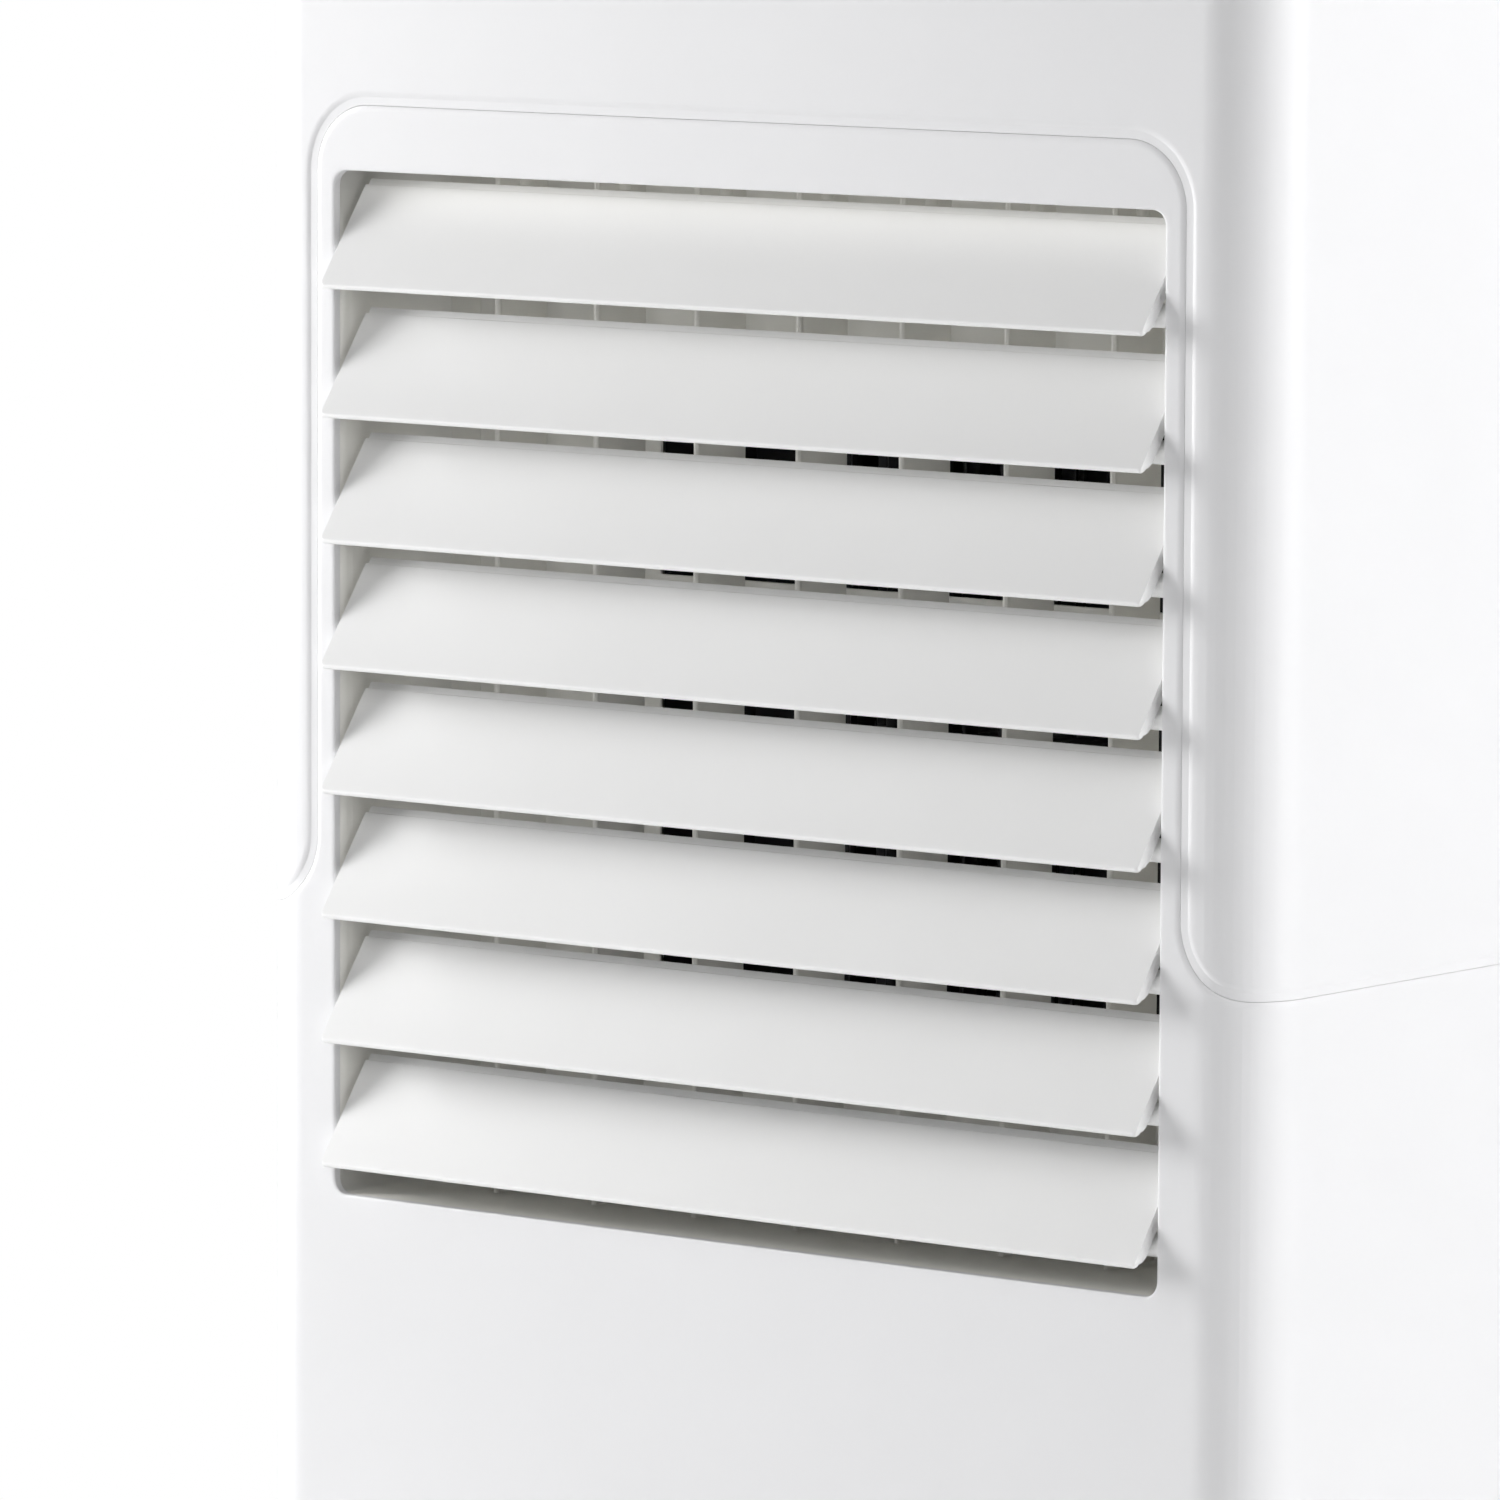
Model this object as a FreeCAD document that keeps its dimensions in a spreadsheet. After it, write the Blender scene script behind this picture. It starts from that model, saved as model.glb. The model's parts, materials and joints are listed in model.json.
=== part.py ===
import FreeCAD, Part
import math
import os
import re
import Sketcher
from FreeCAD import Rotation, Vector

# Upright window air conditioner.  Millimetres.  +X is the right-hand side as seen from the room,
# +Y points out of the window, +Z is up.  The origin is on the floor under the middle of the unit.

SIZES = (
    ("body_width", 360.0, "room-side plastic casing, side to side"),
    ("body_top", 750.0, "top of the casing"),
    ("body_bottom", 10.0, "underside of the casing, on its feet"),
    ("front", -137.05, "Y of the flat front"),
    ("case_rear", 25.0, "Y of the casing's open rear edge"),
    ("edge_radius", 21.0, "rounded front and top edges"),
    ("wall", 2.5, "moulded wall"),
    ("sheet_metal", 1.2, "steel sheet"),
    ("gap", 0.5, "gap between casing pieces"),
    ("slack", 0.1, "running clearance of a pin, on the radius"),
    ("groove_half_width", 2.45, "shadow groove between the two casing pieces"),
    ("groove_depth", 0.4, "depth of the shadow groove"),
    ("arch_half_width", 154.8, "groove centre, either side of the outlet"),
    ("arch_top", 660.0, "groove centre above the outlet"),
    ("arch_foot", 428.0, "groove centre where it runs out to the sides"),
    ("arch_radius", 20.0, "groove bends, on the centre line"),
    ("outlet_half_width", 147.0, "air outlet"),
    ("outlet_bottom", 344.0, "lower edge of the outlet"),
    ("outlet_top", 640.0, "upper edge of the outlet"),
    ("outlet_radius", 4.5, "corners of the outlet"),
    ("duct_wall", 2.0, "outlet duct wall"),
    ("duct_front", 2.7, "duct's front edge, behind the flat front"),
    ("duct_rear", 62.0, "duct's rear face, behind the flat front"),
    ("throat_left", -75.0, "blower throat in the duct's rear wall"),
    ("throat_right", 110.0, "blower throat, right side"),
    ("throat_bottom", 390.0, "blower throat, lower edge"),
    ("throat_top", 578.0, "blower throat, upper edge"),
    ("throat_bar", 520.0, "middle of the bar across the throat"),
    ("louvre_pitch", 36.1, "louvre to louvre"),
    ("louvre_half_length", 145.35, "half the louvre's length"),
    ("louvre_chord", 37.7, "louvre's width, front edge to rear lip"),
    ("louvre_ahead", 11.68, "front edge ahead of the pivot, along the louvre"),
    ("louvre_above", 8.41, "louvre's mid plane above the pivot"),
    ("louvre_half_thick", 0.95, "half the louvre's thickness"),
    ("louvre_lip", 2.6, "thin rear lip"),
    ("louvre_tilt", 54.2, "slope of the louvre from level, at rest"),
    ("louvre_pivot_y", 6.0, "louvre pivots behind the flat front"),
    ("louvre_pivot_top", 610.25, "height of the uppermost louvre's pivot"),
    ("first_louvre_lift", 0.9, "the uppermost pivot sits this much higher"),
    ("louvre_pin", 2.0, "louvre pin radius"),
    ("louvre_boss", 3.3, "louvre boss radius"),
    ("louvre_boss_in", 7.0, "inner end of the boss, in from the louvre's end"),
    ("crank_reach", 12.0, "louvre crank, pivot to link pin"),
    ("link_pin", 1.5, "radius of the link pins"),
    ("vane_pitch", 36.5, "vane to vane"),
    ("vane_nose", 27.5, "vane's front edge behind the flat front"),
    ("vane_pivot_y", 40.0, "vane's pivot behind the flat front"),
    ("vane_tail", 50.1, "vane's rear edge behind the flat front"),
    ("vane_half_thick", 0.6, "half the vane's thickness"),
    ("vane_pin", 1.75, "vane pin radius"),
    ("vane_crank", 10.0, "vane crank, pivot to link pin"),
    ("intake_half_width", 140.0, "air intake aperture"),
    ("intake_bottom", 50.0, "air intake aperture"),
    ("intake_top", 250.0, "air intake aperture"),
    ("slat_pitch", 12.5, "intake grille slats"),
    ("filter_front", 25.0, "filter's front face behind the flat front"),
    ("filter_thick", 6.0, "filter frame thickness"),
    ("rotor_x", 18.0, "blower axis"),
    ("rotor_y", -29.3, "blower axis"),
    ("rotor_radius", 41.0, "blower rotor"),
    ("rotor_shaft", 4.0, "blower shaft radius"),
    ("bulkhead_y", 30.0, "front face of the partition between room side and outdoor side"),
    ("pan_depth", 27.0, "height of the base pan's rim"),
    ("cabinet_half_width", 170.0, "outdoor steel cabinet"),
    ("cabinet_top", 735.0, "outdoor steel cabinet"),
    ("cabinet_rear", 143.6, "rear edge of the outdoor cabinet"),
    ("overall_rear", 145.0, "rear face of the outdoor grille"),
    ("fan_height", 500.0, "height of the condenser fan's axis"),
    ("fan_radius", 116.0, "condenser fan"),
    ("compressor_x", -70.0, "compressor axis"),
    ("compressor_y", 86.0, "compressor axis"),
    ("compressor_radius", 50.0, "compressor shell"),
    ("flange_y", 46.0, "room-side face of the window mounting flanges"),
    ("flange_reach", 208.0, "outer edge of the mounting flanges"),
    ("flange_hole", 2.75, "mounting hole radius, for M5"),
    ("flange_hole_x", 195.0, "mounting holes, from the middle"),
    ("flange_hole_low", 110.0, "lowest mounting hole"),
    ("flange_hole_high", 670.0, "highest mounting hole"),
    ("foot_radius", 12.0, "rubber foot"),
    ("button_radius", 6.0, "control buttons"),
    ("screw_radius", 2.0, "M4 case screws"),
    ("drain_bore", 6.0, "drain spout bore radius"),
)
SIZE = {alias: number for alias, number, _ in SIZES}

AXIS_TURNS = {
    "X": Rotation(Vector(0, 1, 0), 90),
    "Y": Rotation(Vector(1, 0, 0), -90),
    "Z": Rotation(),
}
LOUVRES = 8
VANES = 7
BUTTONS = ("button_power", "button_mode", "button_fan_speed", "button_cooler", "button_warmer")

doc = FreeCAD.newDocument("WindowAirConditioner")
nodes = []


def make_sheet():
    """Write every driving dimension into the spreadsheet under its alias."""
    sheet = doc.addObject("Spreadsheet::Sheet", "Sizes")
    for row, (alias, number, note) in enumerate(SIZES, start=1):
        sheet.set("A%d" % row, alias)
        sheet.set("B%d" % row, str(number))
        sheet.set("C%d" % row, note)
        sheet.setAlias("B%d" % row, alias)
    doc.recompute()


def cells(text):
    """Put the sheet's name in front of each alias in an expression."""
    def full(word):
        return "Sizes." + word.group() if word.group() in SIZE else word.group()
    return re.sub(r"[a-z_]\w*", full, str(text))


def bind(item, **formulas):
    """Bind properties of an object to expressions over the sheet."""
    for name, text in formulas.items():
        item.setExpression(name, cells(text))


def place(item, x, y, z):
    """Bind an object's position to expressions over the sheet."""
    for axis, text in zip("xyz", (x, y, z)):
        item.setExpression("Placement.Base." + axis, cells(text))


def node(item):
    """Keep a finished sub-part: its label names its file."""
    nodes.append(item)
    return item


def block(name, x, y, z):
    """A box between two limits along each axis."""
    item = doc.addObject("Part::Box", name)
    spans = ["(%s) - (%s)" % (high, low) for low, high in (x, y, z)]
    bind(item, Length=spans[0], Width=spans[1], Height=spans[2])
    place(item, x[0], y[0], z[0])
    return item


def rod(name, axis, start, radius, length):
    """A cylinder that starts at a point and runs along +X, +Y or +Z."""
    item = doc.addObject("Part::Cylinder", name)
    item.Placement.Rotation = AXIS_TURNS[axis]
    bind(item, Radius=radius, Height=length)
    place(item, *start)
    return item


def fuse(name, *shapes):
    item = doc.addObject("Part::MultiFuse", name)
    item.Shapes = list(shapes)
    return item


def cut(name, base, *tools):
    item = doc.addObject("Part::Cut", name)
    item.Base = base
    item.Tool = tools[0] if len(tools) == 1 else fuse(name + "_cutters", *tools)
    return item


def common(name, base, tool):
    item = doc.addObject("Part::Common", name)
    item.Base = base
    item.Tool = tool
    return item


def group(name, *solids):
    """Separate solids that share one node."""
    item = doc.addObject("Part::Compound", name)
    item.Links = list(solids)
    return item


def new_body(name):
    return doc.addObject("PartDesign::Body", name)


def new_sketch(body, plane, offset):
    """A sketch on one of the body's own planes, moved along the plane's normal."""
    sketch = body.newObject("Sketcher::SketchObject", body.Name + "_sketch")
    support = [item for item in body.Origin.OriginFeatures if item.Role == plane][0]
    sketch.AttachmentSupport = (support, [""])
    sketch.MapMode = "FlatFace"
    sketch.setExpression("AttachmentOffset.Base.z", cells(offset))
    return sketch


def constrain_point(sketch, edge, end, x, y):
    """Hold a sketch point at coordinates taken from the sheet."""
    for kind, text in (("DistanceX", x), ("DistanceY", y)):
        index = sketch.addConstraint(Sketcher.Constraint(kind, edge, end, 1.0))
        sketch.setExpression("Constraints[%d]" % index, cells(text))


def polygon(sketch, corners):
    """A closed outline; every corner's coordinates are bound to the sheet."""
    count = len(corners)
    turn = Rotation(Vector(0, 0, 1), 360.0 / count)
    start = Vector(10, 0, 0)
    for _ in corners:
        end = turn.multVec(start)
        sketch.addGeometry(Part.LineSegment(start, end), False)
        start = end
    for edge in range(count):
        sketch.addConstraint(Sketcher.Constraint("Coincident", edge, 2, (edge + 1) % count, 1))
    for edge, (x, y) in enumerate(corners):
        constrain_point(sketch, edge, 1, x, y)


def circle(sketch, x, y, radius):
    """A circle whose centre and radius are bound to the sheet."""
    edge = sketch.addGeometry(Part.Circle(Vector(0, 0, 0), Vector(0, 0, 1), 5.0), False)
    constrain_point(sketch, edge, 3, x, y)
    index = sketch.addConstraint(Sketcher.Constraint("Radius", edge, 5.0))
    sketch.setExpression("Constraints[%d]" % index, cells(radius))


def pad(body, plane, offset, length, corners=None, disc=None):
    """Extrude an outline or a disc along the plane's normal."""
    sketch = new_sketch(body, plane, offset)
    if corners:
        polygon(sketch, corners)
    else:
        circle(sketch, *disc)
    feature = body.newObject("PartDesign::Pad", body.Name + "_pad")
    feature.Profile = sketch
    bind(feature, Length=length)
    return feature


def rectangle(left, low, right, high):
    return [(left, low), (right, low), (right, high), (left, high)]


def round_edges(body, base, radius, wanted):
    """Fillet the edges whose middle passes the test."""
    doc.recompute()
    names = []
    for number, edge in enumerate(base.Shape.Edges, start=1):
        if wanted(edge.CenterOfMass, edge):
            names.append("Edge%d" % number)
    fillet = body.newObject("PartDesign::Fillet", body.Name + "_fillet")
    fillet.Base = (base, names)
    bind(fillet, Radius=radius)
    return fillet


# ---------------------------------------------------------------- room-side casing

def rounded_form(name, inset, extra_rear):
    """The casing's outer form, or the same form set in by a wall."""
    body = new_body(name)
    half = "body_width / 2 - %s" % inset
    corners = rectangle("-(%s)" % half, "front + %s" % inset, half, "case_rear + %s" % extra_rear)
    bottom = "body_bottom - %s" % extra_rear
    base = pad(body, "XY_Plane", bottom, "body_top - %s - (%s)" % (inset, bottom), corners)
    doc.recompute()
    box = base.Shape.BoundBox

    def front_or_top(middle, edge):
        upright_front = abs(middle.y - box.YMin) < 0.01 and abs(middle.x) > box.XMax - 0.01
        top_edge = abs(middle.z - box.ZMax) < 0.01 and middle.y < box.YMax - 0.01
        return upright_front or top_edge

    round_edges(body, base, "edge_radius - %s" % inset, front_or_top)
    return body


def arch_form(name, grow):
    """Everything inside the groove line: the arch round the outlet and all below its feet."""
    body = new_body(name)
    leg = "arch_half_width + %s" % grow
    top = "arch_top + %s" % grow
    foot = "arch_foot + %s" % grow
    corners = [("-body_width", "-50"), ("body_width", "-50"), ("body_width", foot), (leg, foot),
               (leg, top), ("-(%s)" % leg, top), ("-(%s)" % leg, foot), ("-body_width", foot)]
    base = pad(body, "XZ_Plane", "-case_rear - 50", "case_rear - front + 100", corners)
    round_edges(body, base, "arch_radius + %s" % grow,
                lambda middle, edge: abs(middle.z - SIZE["arch_top"]) < 5 and abs(middle.x) > 100
                and edge.Length > 200)
    feet = body.Tip
    round_edges(body, feet, "arch_radius - %s" % grow,
                lambda middle, edge: abs(middle.z - SIZE["arch_foot"]) < 5 and 100 < abs(middle.x) < 200
                and edge.Length > 200)
    return body


def shadow_groove():
    """The band that the groove takes out of the casing's skin."""
    band = cut("groove_band", arch_form("groove_outside", "groove_half_width"),
               arch_form("groove_inside", "(-groove_half_width)"))
    skin = cut("groove_skin", rounded_form("skin_outside", "0", "0"),
               rounded_form("skin_inside", "groove_depth", "5"))
    return common("shadow_groove", band, skin)


def case_screw_spots():
    """Side positions of the screws that hold the casing to the bulkhead's rim."""
    return [(side, height) for side in (-1, 1) for height in (80, 340, 480, 690)]


def case_screw_holes(name):
    rods = []
    for side, height in case_screw_spots():
        start = "%d * body_width / 2 - 10" % side
        rods.append(rod("%s_hole" % name, "X", (start, "case_rear - 8", height),
                        "screw_radius + slack", "20"))
    return rods


def outlet_hole(name):
    """The outlet's cutter, with rounded corners."""
    body = new_body(name)
    corners = rectangle("-outlet_half_width", "outlet_bottom", "outlet_half_width", "outlet_top")
    base = pad(body, "XZ_Plane", "-front - 20", "40", corners)
    round_edges(body, base, "outlet_radius", lambda middle, edge: abs(edge.Length - 40) < 0.01)
    return body


def make_casing():
    shell = cut("casing", rounded_form("casing_outside", "0", "0"),
                rounded_form("casing_inside", "wall", "20"))
    groove = shadow_groove()
    fascia_seat = block("fascia_seat", ("-121", "121"), ("front + 41", "front + 101"),
                        ("body_top - 10", "body_top + 10"))
    node(cut("upper_shell", shell, arch_form("panel_clearance", "gap / 2"), groove, fascia_seat,
             *case_screw_holes("shell")))
    panel = common("panel_blank", shell, arch_form("panel_line", "(-gap / 2)"))
    intake = block("intake_hole", ("-intake_half_width", "intake_half_width"),
                   ("front - 10", "front + 10"), ("intake_bottom", "intake_top"))
    slot = block("filter_slot", ("body_width / 2 - 10", "body_width / 2 + 10"),
                 ("front + filter_front - 1", "front + filter_front + filter_thick + 1"),
                 ("intake_bottom - 2", "intake_top + 2"))
    inlet = rod("inlet_hole", "X", ("body_width / 2 - 10", "case_rear - 30", "34"), "9.2", "20")
    node(cut("front_panel", panel, groove, outlet_hole("outlet_hole"), intake, slot, inlet,
             *case_screw_holes("panel")))


def make_intake_grille():
    """A frame with level slats and three uprights behind them."""
    half = "intake_half_width - gap"
    low = "intake_bottom + gap"
    high = "intake_top - gap"
    depth = ("front + 0.3", "front + 8")
    rim = cut("grille_rim", block("grille_plate", ("-(%s)" % half, half), depth, (low, high)),
              block("grille_window", ("-(%s) + 7" % half, "%s - 7" % half),
                    ("front - 5", "front + 12"), ("%s + 7" % low, "%s - 7" % high)))
    pieces = [rim]
    for step in range(15):
        height = "%s + 7 + %d * slat_pitch - 1.5 + 8" % (low, step)
        pieces.append(block("grille_slat", ("-(%s) + 5" % half, "%s - 5" % half),
                            ("front + 0.8", "front + 7"), (height, "%s + 2.2" % height)))
    for column in (-70, 0, 70):
        pieces.append(block("grille_upright", (column - 1.5, column + 1.5),
                            ("front + 5", "front + 8"), ("%s + 5" % low, "%s - 5" % high)))
    node(fuse("intake_grille", *pieces))


def make_air_filter():
    """A framed mesh that slides out of the right-hand side; its end cap closes the slot."""
    depth = ("front + filter_front", "front + filter_front + filter_thick")
    height = ("intake_bottom", "intake_top")
    right = "body_width / 2 - 6"
    frame = cut("filter_frame", block("filter_plate", ("-intake_half_width", right), depth, height),
                block("filter_window_left", ("-intake_half_width + 8", "-4"),
                      ("front", "front + 60"), ("intake_bottom + 8", "intake_top - 8")),
                block("filter_window_right", ("4", "intake_half_width"),
                      ("front", "front + 60"), ("intake_bottom + 8", "intake_top - 8")))
    mesh = block("filter_mesh", ("-intake_half_width + 5", "intake_half_width + 5"),
                 ("front + filter_front + 2.5", "front + filter_front + 3.5"),
                 ("intake_bottom + 5", "intake_top - 5"))
    cap = block("filter_cap", (right, "body_width / 2 + 1"), depth, height)
    pull = block("filter_pull", ("body_width / 2", "body_width / 2 + 5"), depth, ("140", "160"))
    node(fuse("air_filter", frame, mesh, cap, pull))


def make_filter_rails():
    """Upper and lower channels that guide the filter."""
    rails = []
    for name, low, high, lip in (("lower", "intake_bottom - 3", "intake_bottom - 0.4", 1),
                                 ("upper", "intake_top + 0.4", "intake_top + 3", -1)):
        web = block(name + "_web", ("-150", "168"), ("front + filter_front - 2.4",
                    "front + filter_front + filter_thick + 2.4"), (low, high))
        inner = (high, "%s + 4" % high) if lip > 0 else ("%s - 4" % low, low)
        ahead = block(name + "_ahead", ("-150", "168"),
                      ("front + filter_front - 2.4", "front + filter_front - 0.4"), inner)
        behind = block(name + "_behind", ("-150", "168"),
                       ("front + filter_front + filter_thick + 0.4",
                        "front + filter_front + filter_thick + 2.4"), inner)
        rails.append(fuse(name + "_rail", web, ahead, behind))
    node(group("filter_rails", *rails))


# ---------------------------------------------------------------- controls

def button_x(index):
    return "%d" % (-20 + 26 * index)


def make_controls():
    """A fascia let into the top, with a display window and five push buttons."""
    depth = ("front + 41.3", "front + 100.7")
    plate = block("fascia_plate", ("-120.7", "120.7"), depth, ("body_top - 2.6", "body_top - 0.4"))
    skirt = cut("fascia_skirt", block("skirt_out", ("-117", "117"), ("front + 45", "front + 97"),
                                      ("body_top - 14", "body_top - 2.5")),
                block("skirt_in", ("-115", "115"), ("front + 47", "front + 95"),
                      ("body_top - 30", "body_top")))
    holes = [rod("button_hole", "Z", (button_x(index), "front + 71", "body_top - 20"),
                 "button_radius + 0.3", "40") for index in range(len(BUTTONS))]
    window = block("window_hole", ("-105.3", "-44.7"), ("front + 55.7", "front + 86.3"),
                   ("body_top - 20", "body_top + 20"))
    node(cut("control_fascia", fuse("fascia_blank", plate, skirt), window, *holes))
    node(block("display_lens", ("-105", "-45"), ("front + 56", "front + 86"),
               ("body_top - 3.4", "body_top - 0.8")))
    for index, name in enumerate(BUTTONS):
        cap = rod(name + "_cap", "Z", (button_x(index), "front + 71", "body_top - 5"),
                  "button_radius", "6.2")
        collar = rod(name + "_collar", "Z", (button_x(index), "front + 71", "body_top - 5"),
                     "button_radius + 1.5", "2.2")
        node(fuse(name, cap, collar))
    node(block("control_board", ("-112", "112"), ("front + 49", "front + 93"),
               ("body_top - 12", "body_top - 10.4")))


# ---------------------------------------------------------------- outlet: duct, louvres, vanes

def louvre_pivot(index):
    """Height of one louvre's pivot; the first louvre sits a little higher."""
    lift = " + first_louvre_lift" if index == 0 else ""
    return "louvre_pivot_top - %d * louvre_pitch%s" % (index, lift)


def vane_x(index):
    return "%d * vane_pitch" % (index - VANES // 2)


def make_outlet_duct():
    """Four walls behind the outlet and a rear wall with the blower's throat in it."""
    half = "outlet_half_width + duct_wall"
    depth = ("front + duct_front", "front + duct_rear")
    blank = block("duct_blank", ("-(%s)" % half, half), depth,
                  ("outlet_bottom - duct_wall", "outlet_top + duct_wall"))
    cutters = [
        block("duct_bore", ("-outlet_half_width", "outlet_half_width"),
              ("front - 10", "front + duct_rear - duct_wall"), ("outlet_bottom", "outlet_top")),
        block("throat_lower", ("throat_left", "throat_right"), ("front", "front + duct_rear + 10"),
              ("throat_bottom", "throat_bar - 4")),
        block("throat_upper", ("throat_left", "throat_right"), ("front", "front + duct_rear + 10"),
              ("throat_bar + 4", "throat_top")),
    ]
    for index in range(LOUVRES):
        height = louvre_pivot(index)
        for side in ("-(%s) - 5" % half, "outlet_half_width - 1"):
            cutters.append(rod("louvre_hole", "X", (side, "front + louvre_pivot_y", height),
                               "louvre_pin + slack", "duct_wall + 6"))
            cutters.append(block("louvre_slot", (side, "%s + duct_wall + 6" % side),
                                 ("front", "front + louvre_pivot_y"),
                                 ("%s - louvre_pin - slack" % height, "%s + louvre_pin + slack" % height)))
    for index in range(VANES):
        cutters.append(rod("vane_hole", "Z", (vane_x(index), "front + vane_pivot_y",
                           "outlet_bottom - 10"), "vane_pin + slack", "outlet_top - outlet_bottom + 20"))
    node(cut("outlet_duct", blank, *cutters))


def make_louvre(index):
    """A sloping slat with a thin rear lip, end plates on its underside, pivot pins and a crank.

    The body's own X axis is the pivot; its Y runs along the slat and its Z across it.
    """
    body = new_body("louvre_%d" % (index + 1))
    under = "louvre_above - louvre_half_thick"
    top = "louvre_above + louvre_half_thick"
    ahead = "-louvre_ahead"
    rear = "louvre_chord - louvre_ahead"
    slat = [("%s + 0.9" % ahead, "%s - 0.5" % under), ("%s + 3.5" % ahead, under),
            (rear, under), (rear, "louvre_above - 0.1"),
            ("%s - louvre_lip" % rear, "louvre_above - 0.1"), ("%s - louvre_lip" % rear, top),
            ("%s + 1.2" % ahead, top), ("%s + 0.35" % ahead, "%s - 0.35" % top),
            (ahead, "%s - 1.2" % top), (ahead, "%s + 0.2" % under)]
    pad(body, "YZ_Plane", "-louvre_half_length", "2 * louvre_half_length", slat)
    rib = [("%s + 1" % ahead, "%s + 0.5" % under), ("%s + 2.5" % ahead, "%s - 1" % under),
           ("%s + 5" % ahead, "%s - 1.8" % under), ("%s - 4" % rear, "%s - 1.8" % under),
           ("%s - 2.2" % rear, "%s + 0.5" % under)]
    pad(body, "YZ_Plane", "-louvre_half_length", "1.5", rib)
    pad(body, "YZ_Plane", "louvre_half_length - 1.5", "1.5", rib)
    web = [("-2.6", "0"), ("2.6", "0"), ("8", "%s + 0.5" % under), ("-4", "%s + 0.5" % under)]
    pad(body, "YZ_Plane", "-(louvre_half_length - louvre_boss_in)", "2", web)
    pad(body, "YZ_Plane", "louvre_half_length - louvre_boss_in - 2", "2", web)
    wall_out = "outlet_half_width + duct_wall"
    boss = "outlet_half_width - 0.3 - louvre_half_length + louvre_boss_in"
    pad(body, "YZ_Plane", "-(outlet_half_width - 0.3)", boss, disc=("0", "0", "louvre_boss"))
    pad(body, "YZ_Plane", "louvre_half_length - louvre_boss_in", boss, disc=("0", "0", "louvre_boss"))
    pad(body, "YZ_Plane", "-(%s) - 0.6" % wall_out, "duct_wall + 1", disc=("0", "0", "louvre_pin"))
    reach = "13" if index == 3 else "duct_wall + 0.2"
    pad(body, "YZ_Plane", "outlet_half_width - 0.4", reach, disc=("0", "0", "louvre_pin"))
    arm = rectangle("-2.6", "-crank_reach - 2.6", "2.6", "0")
    pad(body, "YZ_Plane", "-(%s) - 3.4" % wall_out, "3", arm)
    pad(body, "YZ_Plane", "-(%s) - 3.4" % wall_out, "3", disc=("0", "0", "2.6"))
    pad(body, "YZ_Plane", "-(%s) - 7" % wall_out, "3.8", disc=("0", "-crank_reach", "link_pin"))
    body.Placement.Rotation = Rotation(Vector(1, 0, 0), 1.0)
    body.setExpression("Placement.Rotation.Angle", cells("louvre_tilt"))
    place(body, "0", "front + louvre_pivot_y", louvre_pivot(index))
    node(body)


def make_louvre_link():
    """The bar that joins the louvre cranks, outside the duct's left wall."""
    x = ("-(outlet_half_width + duct_wall) - 6.8", "-(outlet_half_width + duct_wall) - 3.8")
    crank_y = "front + louvre_pivot_y + crank_reach * sin(louvre_tilt * 1deg)"
    drop = "crank_reach * cos(louvre_tilt * 1deg)"
    lowest = "%s - %s" % (louvre_pivot(LOUVRES - 1), drop)
    highest = "%s - %s" % (louvre_pivot(0), drop)
    bar = block("link_bar", x, ("%s - 3.5" % crank_y, "%s + 3.5" % crank_y),
                ("%s - 5" % lowest, "%s + 5" % highest))
    holes = [rod("link_hole", "X", ("%s - 2" % x[0], crank_y, "%s - %s" % (louvre_pivot(index), drop)),
                 "link_pin + slack", "8") for index in range(LOUVRES)]
    node(cut("louvre_link", bar, *holes))


def make_swing_motor():
    """A small synchronous motor on the duct's right wall, driving the fourth louvre's pin."""
    start = "outlet_half_width + duct_wall + 0.2"
    centre = ("front + louvre_pivot_y + 12", louvre_pivot(3))
    can = rod("swing_can", "X", ("%s + 3" % start, "front + 19", centre[1]), "14", "11")
    plate = block("swing_plate", (start, "%s + 3" % start), ("front + 3.3", "front + 36"),
                  ("%s - 9" % centre[1], "%s + 9" % centre[1]))
    bore = rod("swing_bore", "X", ("%s - 2" % start, "front + louvre_pivot_y", centre[1]),
               "louvre_pin + slack", "13")
    notch = block("swing_notch", ("%s - 2" % start, "%s + 20" % start), ("front", "front + louvre_pivot_y"),
                  ("%s - 2.1" % centre[1], "%s + 2.1" % centre[1]))
    node(cut("swing_motor", fuse("swing_blank", can, plate), bore, notch))


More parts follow.
